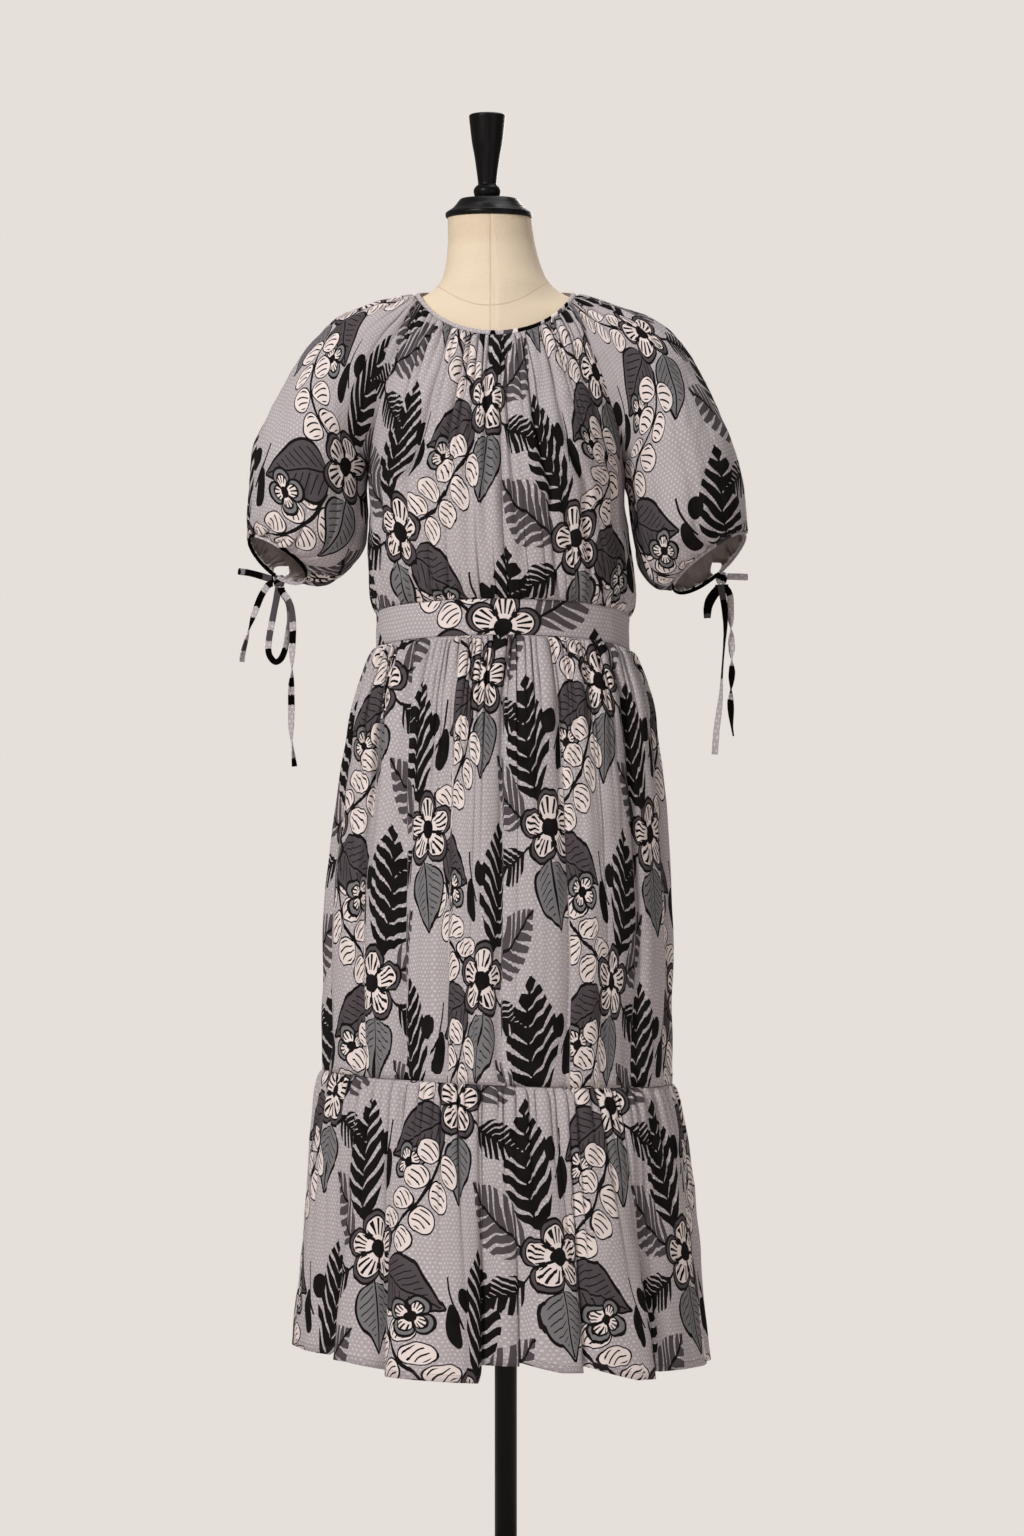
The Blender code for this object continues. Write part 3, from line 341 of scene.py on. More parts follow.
def newMaterial(name, roughness, specular, sheen=0.0):
    material = bpy.data.materials.new(name)
    material.use_nodes = True
    shader = material.node_tree.nodes["Principled BSDF"]
    shader.inputs["Roughness"].default_value = roughness
    shader.inputs["Specular IOR Level"].default_value = specular
    shader.inputs["Sheen Weight"].default_value = sheen
    return material, material.node_tree, shader


def coordinates(tree, source="Object", uvMap="cut", scale=100.0):
    # in centimetres, from the piece's own cut cloth or from the object's frame
    if source == "UV":
        start = tree.nodes.new("ShaderNodeUVMap")
        start.uv_map = uvMap
        socket = start.outputs[0]
    else:
        start = tree.nodes.new("ShaderNodeTexCoord")
        socket = start.outputs["Object"]
    stretch = tree.nodes.new("ShaderNodeVectorMath")
    stretch.operation = "SCALE"
    stretch.inputs["Scale"].default_value = scale
    tree.links.new(socket, stretch.inputs[0])
    return stretch.outputs[0]


def splitVector(tree, vector):
    node = tree.nodes.new("ShaderNodeSeparateXYZ")
    tree.links.new(vector, node.inputs[0])
    return [Field(tree, output) for output in node.outputs]


def mapped(tree, vector, setting, value):
    node = tree.nodes.new("ShaderNodeMapping")
    node.inputs[setting].default_value = value
    tree.links.new(vector, node.inputs[0])
    return node.outputs[0]


def noiseField(tree, vector, scale, detail, output="Fac"):
    node = tree.nodes.new("ShaderNodeTexNoise")
    node.inputs["Scale"].default_value = scale
    node.inputs["Detail"].default_value = detail
    tree.links.new(vector, node.inputs["Vector"])
    return Field(tree, node.outputs[output])


def bumpFrom(tree, shader, height, distance):
    node = tree.nodes.new("ShaderNodeBump")
    node.inputs["Distance"].default_value = distance
    tree.links.new(height.socket, node.inputs["Height"])
    tree.links.new(node.outputs[0], shader.inputs["Normal"])


def printGroup():
    tree = bpy.data.node_groups.new("botanicalPrint", "ShaderNodeTree")
    tree.interface.new_socket("Cut", in_out="INPUT", socket_type="NodeSocketVector")
    tree.interface.new_socket("Color", in_out="OUTPUT", socket_type="NodeSocketColor")
    cut = tree.nodes.new("NodeGroupInput").outputs[0]
    end = tree.nodes.new("NodeGroupOutput")
    unevenness = noiseField(tree, cut, cottonPrint["wobbleSize"], 0.0, "Color")  # as if drawn by hand
    acrossOff, downOff = splitVector(tree, unevenness.socket)[:2]
    across, down = splitVector(tree, cut)[:2]
    across = across + (acrossOff - 0.5) * cottonPrint["wobble"]
    down = down + (downOff - 0.5) * cottonPrint["wobble"]
    tree.links.new(printColour(tree, across, down), end.inputs[0])
    return tree


def clothBump(tree, shader, cut, crumpleScale, detail, distance):
    # the weave's threads on top of fine crumples
    across, down = splitVector(tree, cut)[:2]
    thread = 2 * math.pi / cottonPrint["thread"]
    threads = (across * thread).sheet("SINE") * (down * thread).sheet("SINE")
    crumple = noiseField(tree, cut, crumpleScale, detail)
    bumpFrom(tree, shader, threads * cottonPrint["threadHeight"] + crumple, distance)


def printedCotton(name, shift, inside=False, hem=False):
    material, tree, shader = newMaterial(name, 0.92, 0.02, 0.01)
    cut = coordinates(tree, "UV")
    group = tree.nodes.new("ShaderNodeGroup")
    group.node_tree = botanicalPrint
    tree.links.new(mapped(tree, cut, "Location", (*shift, 0.0)), group.inputs[0])
    blotch = noiseField(tree, cut, 0.35, 3.0)
    colour = group.outputs[0]
    if inside:  # the print shows through weakly and warmer on the cloth's back, which is made paler still as painted light for the shaded inside
        colour = mixColours(tree, blotch * 0.10 + 0.58, colour, cottonPrint["back"])
    else:
        colour = mixColours(tree, blotch * 0.03, colour, cottonPrint["faded"])
    if hem:
        along = splitVector(tree, cut)[0]
        up = splitVector(tree, coordinates(tree, "UV", "edge", 1000.0))[1]
        row = abs(up - hemStitch["height"]) < hemStitch["halfWidth"]
        stitches = row * ((along * hemStitch["pitch"]).fract() < hemStitch["drawn"])
        colour = mixColours(tree, (up < hemStitch["height"]) * hemStitch["fold"], colour,
                            cottonPrint["darkGrey"])
        colour = mixColours(tree, stitches * hemStitch["shade"], colour, cottonPrint["darkGrey"])
    tree.links.new(colour, shader.inputs["Base Color"])
    clothBump(tree, shader, cut, 0.9, 3.0, 0.0011)
    return material


def stripCloth(name, patches, length, lengthwise=False):
    # a strip cut across the print: plain stretches of its colours, each given by where it ends
    material, tree, shader = newMaterial(name, 0.92, 0.02, 0.01)
    cut = coordinates(tree, "UV")
    across, down = splitVector(tree, cut)[:2]
    if lengthwise:
        across, down = down, across + length * 50  # half its length in centimetres
    ground = dottedGround(tree, across + 0.1, down)
    ramp = tree.nodes.new("ShaderNodeValToRGB")
    ramp.color_ramp.interpolation = "CONSTANT"
    uneven = noiseField(tree, cut, 2.6, 1.0)
    tree.links.new(((down + (uneven - 0.5) * 0.5) * (0.01 / length)).socket, ramp.inputs[0])
    stops = ramp.color_ramp.elements
    begin = 0.0
    for place, (end, shade) in enumerate(patches):
        stop = stops[place] if place < 2 else stops.new(begin / length)
        stop.position = begin / length
        stop.color = (*cottonPrint[shade], 1.0) if shade != "dots" else (0.0, 0.0, 0.0, 0.0)
        begin = end
    if len(patches) == 1:
        stops[1].color = stops[0].color
    colour = mixColours(tree, Field(tree, ramp.outputs["Alpha"]), ground, ramp.outputs["Color"])
    tree.links.new(colour, shader.inputs["Base Color"])
    clothBump(tree, shader, cut, 3.0, 2.0, 0.0006)
    return material


sides = ("left", "right")
halves = ("front", "back")
outwards = {"left": -1, "right": 1}


def clamp(value, low=0.0, high=1.0):
    return max(low, min(high, value))


def fadeOut(away, reach):
    return math.exp(-away / reach)


def fadeIn(away, reach):
    return 1 - fadeOut(away, reach)


def bell(off, width):
    return math.exp(-((off / width) ** 2))


# The dress's shape, as in the solids: tables of rows, read on smooth curves
def table(kind, *rows):
    return tuple(kind(*row) for row in rows)


def rowAt(rows, place):
    place = clamp(place, 0.0, len(rows) - 1.0)
    index = min(int(place), len(rows) - 2)
    t = place - index
    before = rows[max(index - 1, 0)]
    start = rows[index]
    end = rows[index + 1]
    after = rows[min(index + 2, len(rows) - 1)]
    weights = (2 * t**3 - 3 * t**2 + 1, t**3 - 2 * t**2 + t, 3 * t**2 - 2 * t**3, t**3 - t**2)
    values = []
    for p0, p1, p2, p3 in zip(before, start, end, after):
        values.append(weights[0] * p1 + weights[1] * (p2 - p0) / 2 + weights[2] * p2
                      + weights[3] * (p3 - p1) / 2)
    return type(start)(*values)


SwayRow = namedtuple("SwayRow", "z shift")
swayRows = table(  # the form leans a little
    SwayRow,
    (0.274, -0.005), (0.588, -0.009), (0.870, -0.004), (1.088, -0.003), (1.160, -0.008), (1.300, -0.011),
    (1.421, -0.011), (1.506, -0.018), (1.618, -0.020),
)
BodiceRow = namedtuple("BodiceRow", "midZ midY edgeX edgeY edgeZ sweep ease")
bodiceRows = {
    "front": table(
        BodiceRow,
        (1.3710, -0.078, 0.0793, -0.0330, 1.4080, 65, 1.00),
        (1.3500, -0.090, 0.0910, -0.0460, 1.3850, 62, 0.95),
        (1.3220, -0.104, 0.1040, -0.0570, 1.3560, 60, 0.90),
        (1.2900, -0.117, 0.1170, -0.0630, 1.3200, 60, 0.85),
        (1.2580, -0.126, 0.1280, -0.0580, 1.2820, 66, 0.85),
        (1.2280, -0.130, 0.1350, -0.0360, 1.2520, 77, 0.85),
        (1.2050, -0.131, 0.1370, 0.0000, 1.2320, 90, 0.85),
        (1.1750, -0.129, 0.1360, 0.0000, 1.1900, 90, 0.85),
        (1.1450, -0.124, 0.1405, 0.0000, 1.1500, 90, 0.88),
        (1.1150, -0.116, 0.1420, 0.0000, 1.1120, 90, 0.94),
        (1.0892, -0.102, 0.1365, 0.0000, 1.0744, 90, 1.00),
    ),
    "back": table(
        BodiceRow,
        (1.4330, 0.062, 0.0773, 0.0291, 1.4249, 62, 1.00),
        (1.4050, 0.078, 0.0900, 0.0440, 1.4030, 62, 0.95),
        (1.3700, 0.092, 0.1030, 0.0570, 1.3720, 60, 0.90),
        (1.3300, 0.103, 0.1160, 0.0630, 1.3320, 60, 0.85),
        (1.2900, 0.109, 0.1270, 0.0580, 1.2900, 66, 0.85),
        (1.2550, 0.112, 0.1350, 0.0360, 1.2560, 77, 0.85),
        (1.2200, 0.112, 0.1370, 0.0000, 1.2320, 90, 0.85),
        (1.1850, 0.110, 0.1360, 0.0000, 1.1900, 90, 0.85),
        (1.1480, 0.106, 0.1405, 0.0000, 1.1500, 90, 0.88),
        (1.1080, 0.101, 0.1420, 0.0000, 1.1120, 90, 0.94),
        (1.0674, 0.092, 0.1365, 0.0000, 1.0744, 90, 1.00),
    ),
}
SleeveRow = namedtuple("SleeveRow", "ridgeX ridgeZ underX underZ depth arch pitch")
sleeveShoulder = (
    (0.0875, 1.4210, 0.0790, 1.4080, 0.0340, 62, 0.000),
    (0.1120, 1.4170, 0.0910, 1.3850, 0.0500, 70, 0.000),
    (0.1400, 1.4080, 0.1040, 1.3560, 0.0590, 86, 0.000),
    (0.1700, 1.3940, 0.1170, 1.3200, 0.0670, 106, 0.000),
    (0.1980, 1.3700, 0.1280, 1.2820, 0.0750, 128, 0.000),
    (0.2230, 1.3350, 0.1350, 1.2520, 0.0800, 152, 0.000),
    (0.2430, 1.2960, 0.1376, 1.2320, 0.0840, 180, 0.000),
)
sleeveRows = {
    "right": table(
        SleeveRow, *sleeveShoulder,
        (0.2580, 1.2620, 0.1425, 1.2050, 0.0860, 180, 0.002),
        (0.2660, 1.2250, 0.1470, 1.1680, 0.0870, 180, 0.004),
        (0.2680, 1.1900, 0.1560, 1.1310, 0.0830, 180, 0.007),
        (0.2680, 1.1720, 0.1740, 1.1080, 0.0640, 180, 0.012),
        (0.2690, 1.1620, 0.1900, 1.1075, 0.0410, 180, 0.0168),
    ),
    "left": table(
        SleeveRow, *sleeveShoulder,
        (0.2580, 1.2620, 0.1390, 1.2050, 0.0860, 180, 0.002),
        (0.2660, 1.2250, 0.1400, 1.1740, 0.0870, 180, 0.004),
        (0.2680, 1.1900, 0.1465, 1.1430, 0.0830, 180, 0.007),
        (0.2670, 1.1710, 0.1680, 1.1190, 0.0640, 180, 0.012),
        (0.2655, 1.1570, 0.2025, 1.1210, 0.0410, 180, 0.0168),
    ),
}
armpitRow = 6
sleeveSway = -0.0113
TierRow = namedtuple("TierRow", "down halfWidth front back")
skirtRows = table(
    TierRow,
    (0.00, 0.1375, 0.1040, 0.0940),
    (0.05, 0.1465, 0.1130, 0.1080),
    (0.14, 0.1610, 0.1260, 0.1310),
    (0.28, 0.1705, 0.1360, 0.1440),
    (0.45, 0.1800, 0.1450, 0.1510),
    (0.66, 0.1880, 0.1520, 0.1560),
    (0.85, 0.1890, 0.1560, 0.1590),
    (1.00, 0.1880, 0.1580, 0.1600),
)
flounceRows = table(
    TierRow,
    (0.00, 0.1880, 0.1580, 0.1600),
    (0.10, 0.1960, 0.1665, 0.1685),
    (0.27, 0.2045, 0.1750, 0.1770),
    (0.50, 0.2115, 0.1820, 0.1850),
    (0.75, 0.2180, 0.1885, 0.1920),
    (1.00, 0.2270, 0.1960, 0.1990),
)
band = {"halfWidth": 0.1365, "front": 0.102, "back": 0.092, "height": 0.038, "top": 1.0892,
        "sideDrop": 0.0148, "sideTilt": 0.0022, "backDrop": 0.007}
neck = {"halfWidth": 0.0875, "front": 0.078, "back": 0.062, "sideZ": 1.421, "frontDrop": 0.050,
        "flatter": 0.2, "backRise": 0.002, "height": 0.006, "leanSide": 0.9, "leanAlong": 0.5,
        "frontTurn": 65.0, "backTurn": 62.0}
cuff = {"sag": 0.0037, "height": 0.005, "slitTurn": {"left": 84.0, "right": 72.0},
        "slitHeight": 0.024, "slitWidth": 0.0085, "slitSpan": 26, "split": math.radians(2)}


def sway(z):
    for low, high in zip(swayRows, swayRows[1:]):
        if z <= high.z:
            t = max(0.0, (z - low.z) / (high.z - low.z))
            return low.shift + (high.shift - low.shift) * t
    return swayRows[-1].shift


def swayed(point):
    return Vector((point.x + sway(point.z), point.y, point.z))


def neckRing(turn, rise=0.0):
    side = math.sin(turn)
    ahead = math.cos(turn)
    front = max(ahead, 0.0)
    back = max(-ahead, 0.0)
    seam = Vector((
        neck["halfWidth"] * side,
        -neck["front"] * front + neck["back"] * back,
        neck["sideZ"] - neck["frontDrop"] * front ** (1.5 - neck["flatter"] * front**2)
        + neck["backRise"] * back**1.5,
    ))
    lean = Vector((
        -neck["leanSide"] * math.copysign(abs(side) ** 8, side),
        neck["leanAlong"] * math.tanh(3 * ahead),
        0.0,
    ))
    lean.z = math.sqrt(1 - lean.length_squared)
    return swayed(seam) + lean * (neck["height"] * rise)


def bandTop(turn):
    front = 1 - max(math.cos(turn), 0.0)
    back = max(-math.cos(turn), 0.0)
    side = band["sideDrop"] + band["sideTilt"] * math.sin(turn)
    return band["top"] - side * front - band["backDrop"] * back


def bandBottom(turn):
    return bandTop(turn) - band["height"]


def bandPoint(turn, down):
    depth = band["front"] if math.cos(turn) > 0 else band["back"]
    return swayed(Vector((
        band["halfWidth"] * math.sin(turn),
        -depth * math.cos(turn),
        bandTop(turn) - band["height"] * down,
    )))


levels = {"tierSeam": 0.578, "hem": 0.274, "tilt": 0.008}


def tierSeam(turn):
    return levels["tierSeam"] - levels["tilt"] * math.sin(turn)


def hemLine(turn):
    return levels["hem"] - levels["tilt"] * math.sin(turn)


def bodiceBase(half, u, v):
    rows = bodiceRows[half]
    row = rowAt(rows, v)
    sweep = math.radians(min(row.sweep, 90.0))
    turn = u * sweep
    ease = max(0.0, (math.cos(turn) - math.cos(sweep)) / (1 - math.cos(sweep)))
    nearBand = max(0.0, v - len(rows) + 3) / 2
    waist = rows[-1]
    waistZ = waist.edgeZ + (waist.midZ - waist.edgeZ) * ease
    bandZ = bandTop(turn if half == "front" else math.pi - turn)
    return swayed(Vector((
        row.edgeX * math.sin(turn) / math.sin(sweep),
        row.edgeY + (row.midY - row.edgeY) * ease ** row.ease,
        row.edgeZ + (row.midZ - row.edgeZ) * ease + (bandZ - waistZ) * nearBand,
    )))


def bodicePoint(half, u, v):
    point = bodiceBase(half, u, v)
    if v < 1:
        if half == "front":
            onRing = neckRing(u * math.radians(neck["frontTurn"]))
        else:
            onRing = neckRing(math.pi - u * math.radians(neck["backTurn"]))
        point += (onRing - bodiceBase(half, u, 0.0)) * (1 - v) ** 2
    return point


def sleeveEdge(side, u, v):
    sign = outwards[side]
    if v < armpitRow:
        row = rowAt(bodiceRows["front" if u < 0 else "back"], v)
        return swayed(Vector((sign * row.edgeX, row.edgeY, row.edgeZ)))
    row = rowAt(sleeveRows[side], v)
    under = Vector((sign * row.underX + sleeveSway, 0.0, row.underZ))
    corner = bodiceRows["front"][armpitRow]
    armpit = swayed(Vector((sign * (corner.edgeX + 0.0003), 0.0, corner.edgeZ)))
    return under.lerp(armpit, max(0.0, 1 - (v - armpitRow)))


def sleeveBase(side, u, v):
    sign = outwards[side]
    row = rowAt(sleeveRows[side], v)
    half = -1 if u < 0 else 1
    arch = math.radians(min(row.arch, 180.0))
    alpha = abs(u) * arch
    ridge = Vector((sign * row.ridgeX + sleeveSway, 0.0, row.ridgeZ))
    edge = sleeveEdge(side, u, v)
    reach = Vector((edge.x - ridge.x, 0.0, edge.z - ridge.z))
    point = ridge + reach * ((1 - math.cos(alpha)) / (1 - math.cos(arch)))
    point.y += half * row.depth * math.sin(alpha)
    point.z -= half * row.pitch * math.sin(alpha)
    if v > armpitRow:
        fall = (v - armpitRow) / (len(sleeveRows[side]) - 1 - armpitRow)
        point.z -= cuff["sag"] * fall**2 * math.sin(alpha) ** 2
    end = ridge + reach
    end.y += half * row.depth * math.sin(arch)
    return point + (edge - end) * abs(u) ** 4


def sleevePoint(side, u, v):
    point = sleeveBase(side, u, v)
    if v < 1:
        spread = 90 - (neck["frontTurn"] if u < 0 else neck["backTurn"])
        turn = math.radians(90 + u * spread)
        onRing = neckRing(turn if side == "right" else -turn)
        point += (onRing - sleeveBase(side, u, 0.0)) * (1 - v) ** 2
    return point


def tierPoint(rows, top, bottom, turn, place):
    row = rowAt(rows, place)
    front = max(math.cos(turn), 0.0)
    back = max(-math.cos(turn), 0.0)
    return swayed(Vector((
        row.halfWidth * math.sin(turn),
        -row.front * front + row.back * back,
        top(turn) + (bottom(turn) - top(turn)) * row.down,
    )))


def cuffAxis(side):
    row = sleeveRows[side][-1]
    sign = outwards[side]
    chord = Vector((sign * (row.underX - row.ridgeX), 0.0, row.underZ - row.ridgeZ))
    axis = chord.cross(Vector((0.0, row.depth, -row.pitch))).normalized()
    return -axis if axis.z > 0 else axis


def cuffPoint(side, alpha, fall):
    last = len(sleeveRows[side]) - 1
    point = sleeveBase(side, math.degrees(alpha) / 180, last)
    return point + cuffAxis(side) * (cuff["height"] * fall)


RoutePoint = namedtuple("RoutePoint", "x y z roll")


def route(*points):  # given in millimetres from the knot's middle, and in degrees
    return [RoutePoint(x / 1000, y / 1000, z / 1000, roll) for x, y, z, roll in points]


# Each tie from its knot: the points of its route, and how its flat side rolls
tieRoutes = {
    "left": {
        "loopSide": route(
            (-6.4, -0.9, 2.4, 0), (-9.6, -0.9, 2.5, 0), (-17.0, -1.8, 4.4, 0), (-25.0, -2.4, 7.0, 0),
            (-35.0, -2.4, 9.4, 0), (-41.0, -2.0, 10.2, 0), (-43.4, -0.6, 10.5, 0), (-44.1, 1.4, 10.6, 0),
            (-43.4, 3.4, 10.5, 0), (-41.0, 4.8, 10.2, 0), (-35.0, 5.2, 9.5, 0), (-25.0, 5.0, 7.3, 0),
            (-17.0, 3.6, 5.0, 0), (-9.6, 2.3, 2.8, 0), (-6.4, 2.2, 2.7, 0),
        ),
        "loopHang": route(
            (-1.2, 0.0, -6.9, 0), (-1.4, 0.0, -10.2, 0), (-3.0, 0.2, -20.0, 5), (-7.6, 0.3, -44.0, 10),
            (-10.1, 0.4, -57.8, 15), (-11.8, 0.6, -71.8, 20), (-10.2, 1.2, -81.5, 25),
            (-4.2, 2.0, -88.0, 30), (2.0, 2.7, -84.2, 30), (6.4, 3.4, -73.4, 35), (9.0, 4.2, -57.8, 40),
            (11.4, 5.0, -40.4, 35), (9.9, 4.6, -24.0, 20), (4.4, 3.0, -14.0, 5), (2.6, 2.4, -10.2, 0),
            (2.4, 2.4, -6.9, 0),
        ),
        "tailA": route(
            (-6.4, -3.4, -2.8, 0), (-9.4, -3.4, -3.0, 0), (-14.5, -3.6, -8.0, 0), (-20.0, -4.0, -18.0, 5),
            (-24.0, -4.2, -28.3, 15), (-28.4, -4.0, -40.4, 45), (-32.5, -3.6, -52.7, 85),
            (-35.6, -3.2, -64.7, 115), (-38.8, -3.0, -76.7, 130), (-40.6, -3.0, -88.2, 135),
        ),
        "tailB": route(
            (2.2, -2.4, -6.9, 0), (2.5, -2.4, -10.2, 0), (6.2, -2.8, -15.0, 10), (10.8, -3.2, -21.5, 35),
            (14.2, -3.4, -31.0, 40), (15.2, -3.4, -47.3, 10), (14.8, -3.2, -64.7, 0),
            (14.2, -3.0, -82.1, 45), (14.2, -2.8, -99.6, 100), (13.4, -2.6, -117.0, 155),
            (13.4, -2.4, -134.5, 180), (13.0, -2.4, -151.7, 200), (13.4, -2.2, -169.1, 245),
            (15.1, -2.2, -186.5, 290), (16.8, -2.2, -202.1, 315),
        ),
    },
    "right": {
        "loopSide": route(
            (6.4, -1.2, 1.2, 0), (9.6, -1.2, 1.3, 0), (15.0, -2.0, 1.5, 0), (21.0, -2.4, 1.2, 0),
            (25.2, -2.0, 1.0, 0), (27.4, -0.6, 0.9, 0), (28.1, 1.2, 0.9, 0), (27.4, 3.0, 0.9, 0),
            (25.2, 4.4, 1.0, 0), (21.0, 4.8, 1.2, 0), (15.0, 3.6, 1.5, 0), (9.6, 2.2, 1.6, 0),
            (6.4, 2.1, 1.6, 0),
        ),
        "loopHang": route(
            (-3.4, 0.0, -7.3, 0), (-3.6, 0.0, -10.4, 0), (-9.0, -0.2, -16.5, 0), (-14.0, -0.4, -24.3, 0),
            (-16.0, -0.6, -33.0, 0), (-16.0, -0.4, -38.5, 0), (-15.7, 0.6, -41.5, 0),
            (-15.4, 2.6, -42.6, 0), (-15.0, 4.6, -41.5, 0), (-14.6, 5.7, -38.5, 0), (-13.2, 6.0, -31.0, 0),
            (-9.2, 5.2, -22.5, 0), (-4.2, 4.0, -15.0, 0), (-0.6, 2.6, -10.2, 0), (-0.2, 2.5, -6.9, 0),
        ),
        "tailA": route(
            (-0.6, -2.4, -6.9, 0), (-0.6, -2.4, -10.2, 0), (0.2, -2.6, -15.5, 0), (2.0, -3.0, -23.5, 10),
            (3.6, -3.4, -36.1, 30), (4.2, -3.6, -52.9, 60), (2.9, -3.6, -72.8, 80), (1.4, -3.4, -92.9, 85),
            (0.3, -3.2, -109.6, 80), (-0.8, -3.0, -129.5, 60), (-3.0, -2.8, -148.0, 35),
            (-5.6, -2.6, -168.1, 25), (-7.3, -2.6, -192.3, 15),
        ),
        "tailB": route(
            (4.0, 0.0, -6.9, 0), (4.2, 0.0, -10.2, 0), (7.8, -0.4, -15.5, 0), (9.6, -0.6, -22.6, 0),
            (10.0, -0.6, -34.6, 0), (10.2, -0.6, -44.0, 30), (10.6, -0.6, -55.0, 90),
            (11.1, -0.6, -72.0, 180), (10.9, -0.6, -88.6, 270), (11.3, -0.6, -104.0, 360),
            (10.6, -0.6, -121.0, 450), (9.9, -0.6, -138.0, 540), (11.0, -0.6, -158.0, 610),
            (12.8, -0.6, -172.3, 630),
        ),
    },
}
tie = {"width": 0.007, "wall": 0.0011, "step": 0.0022, "columns": 6, "cup": 0.0005, "ripple": 0.0002,
       "narrow": 0.05, "edge": 0.00045}
tieKnot = {"size": (0.0125, 0.0095, 0.0140), "square": 3.2, "turns": 2.9, "slant": 0.55, "waist": 0.10,
           "waistWidth": 0.35, "groove": 0.10}
tieNodes = {"loopSide": "tie_loop_side", "loopHang": "tie_loop_hang", "tailA": "tie_tail_a",
            "tailB": "tie_tail_b"}
# The strip's colours from the knot on: where each stretch ends, in metres, and its shade
tiePatches = {
    "left": {
        "loopSide": ((0.003, "black"), (0.012, "darkGrey"), (0.025, "black"), (0.030, "midGrey"),
                     (0.053, "black"), (0.058, "midGrey"), (0.1, "black")),
        "loopHang": ((0.034, "darkGrey"), (0.042, "dots"), (0.052, "darkGrey"), (0.060, "dots"),
                     (0.104, "black"), (0.118, "dots"), (0.132, "midGrey"), (0.2, "darkGrey")),
        "tailA": ((0.016, "black"), (0.026, "dots"), (0.042, "black"), (0.052, "dots"),
                  (0.064, "black"), (0.073, "dots"), (0.084, "darkGrey"), (0.2, "dots")),
        "tailB": ((0.024, "black"), (0.040, "dots"), (0.068, "darkGrey"), (0.076, "dots"),
                  (0.088, "black"), (0.118, "dots"), (0.126, "black"), (0.134, "dots"),
                  (0.142, "black"), (0.190, "dots"), (0.200, "black"), (0.3, "dots")),
    },
    "right": {
        "loopSide": ((0.1, "dots"),),
        "loopHang": ((0.030, "black"), (0.036, "darkGrey"), (0.2, "black")),
        "tailA": ((0.046, "darkGrey"), (0.124, "black"), (0.3, "dots")),
        "tailB": ((0.032, "black"), (0.108, "dots"), (0.132, "black"), (0.136, "dots"), (0.3, "black")),
    },
}


def knotMiddle(side):
    low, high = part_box("tie_knot_" + side)
    return (Vector(low) + Vector(high)) / 2


def tieFrames(points, steps):
    # points along a route and the direction of the strip's width, which lies across the front view
    frames = []
    flat = None
    near = 0.05
    last = len(points) - 1
    for step in range(steps + 1):
        place = step * last / steps
        here = rowAt(points, place)
        ahead = Vector(rowAt(points, place + near)[:3])
        behind = Vector(rowAt(points, place - near)[:3])
        tangent = (ahead - behind).normalized()
        across = tangent.cross(Vector((0.0, 1.0, 0.0)))
        if flat is None:
            flat = across
        elif across.length > 0.5:
            flat = across if across.dot(flat) > 0 else -across
        flat = (flat - tangent * flat.dot(tangent)).normalized()
        roll = math.radians(here.roll)
        width = flat * math.cos(roll) + tangent.cross(flat) * math.sin(roll)
        frames.append((Vector(here[:3]), width, tangent.cross(width)))
    return frames


def makeTie(side, kind):
    points = tieRoutes[side][kind]
    knot = knotMiddle(side)
    line = [rowAt(points, step * (len(points) - 1) / 200) for step in range(201)]
    length = sum((Vector(b[:3]) - Vector(a[:3])).length for a, b in zip(line, line[1:]))
    steps = round(length / tie["step"])
    frames = tieFrames(points, steps)
    bm = bmesh.new()
    bmesh.ops.create_grid(bm, x_segments=tie["columns"], y_segments=steps, size=1.0)
    layCut(bm, "cut", lambda vert: (vert.co.x * tie["width"] / 2, (vert.co.y + 1) / 2 * length))
    for vert in bm.verts:
        middle, width, normal = frames[round((vert.co.y + 1) / 2 * steps)]
        x = vert.co.x
        along = (vert.co.y + 1) / 2 * length
        narrow = 1 + tie["narrow"] * noise.noise(Vector((along * 90, 3.7, 1.1)))
        cup = tie["cup"] * (1 - x * x) + tie["ripple"] * noise.noise(Vector((along * 160, x * 2, 5.0)))
        vert.co = knot + middle + width * (x * narrow * tie["width"] / 2) + normal * cup
    bm.normal_update()
    name = tieNodes[kind] + "_" + side
    piece = meshObject(name + "_strip", bm, tieStrips[side, kind])
    thicken(piece, tie["wall"], offset=0.0)
    softenEdges(piece, tie["edge"])
    standFor(piece, "binding", name)
    path = [tuple(knot + Vector(row[:3])) for row in line[::4]]
    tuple(path[0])
    print(name, "length", round(length, 4))


def makeKnot(side):
    # the strip wrapped over itself: a soft block with the turns pressed into it
    bm = bmesh.new()
    bmesh.ops.create_cube(bm, size=1.0)
    bmesh.ops.subdivide_edges(bm, edges=bm.edges[:], cuts=15, use_grid_fill=True)
    middle = knotMiddle(side)
    sign = outwards[side]
    square = tieKnot["square"]
    for vert in bm.verts:
        point = vert.co * 2
        point /= (abs(point.x) ** square + abs(point.y) ** square + abs(point.z) ** square) ** (1 / square)
        turns = abs(math.sin((point.z + sign * point.x * tieKnot["slant"]) * tieKnot["turns"]))
        waist = 1 - tieKnot["waist"] * bell(point.x, tieKnot["waistWidth"]) * abs(point.z)
        swell = waist * (1 - tieKnot["groove"] * (1 - turns**0.5))
        vert.co = middle + point * Vector(tieKnot["size"]) * (swell / 2)

    def cutPlace(vert):
        off = vert.co - middle
        return off.x, off.z + sign * off.x * 0.5 + 0.01

    layCut(bm, "cut", cutPlace)
    bmesh.ops.recalc_face_normals(bm, faces=bm.faces)
    piece = meshObject("tie_knot_" + side + "_turns", bm, knotStrips[side])
    standFor(piece, "binding", "tie_knot_" + side)


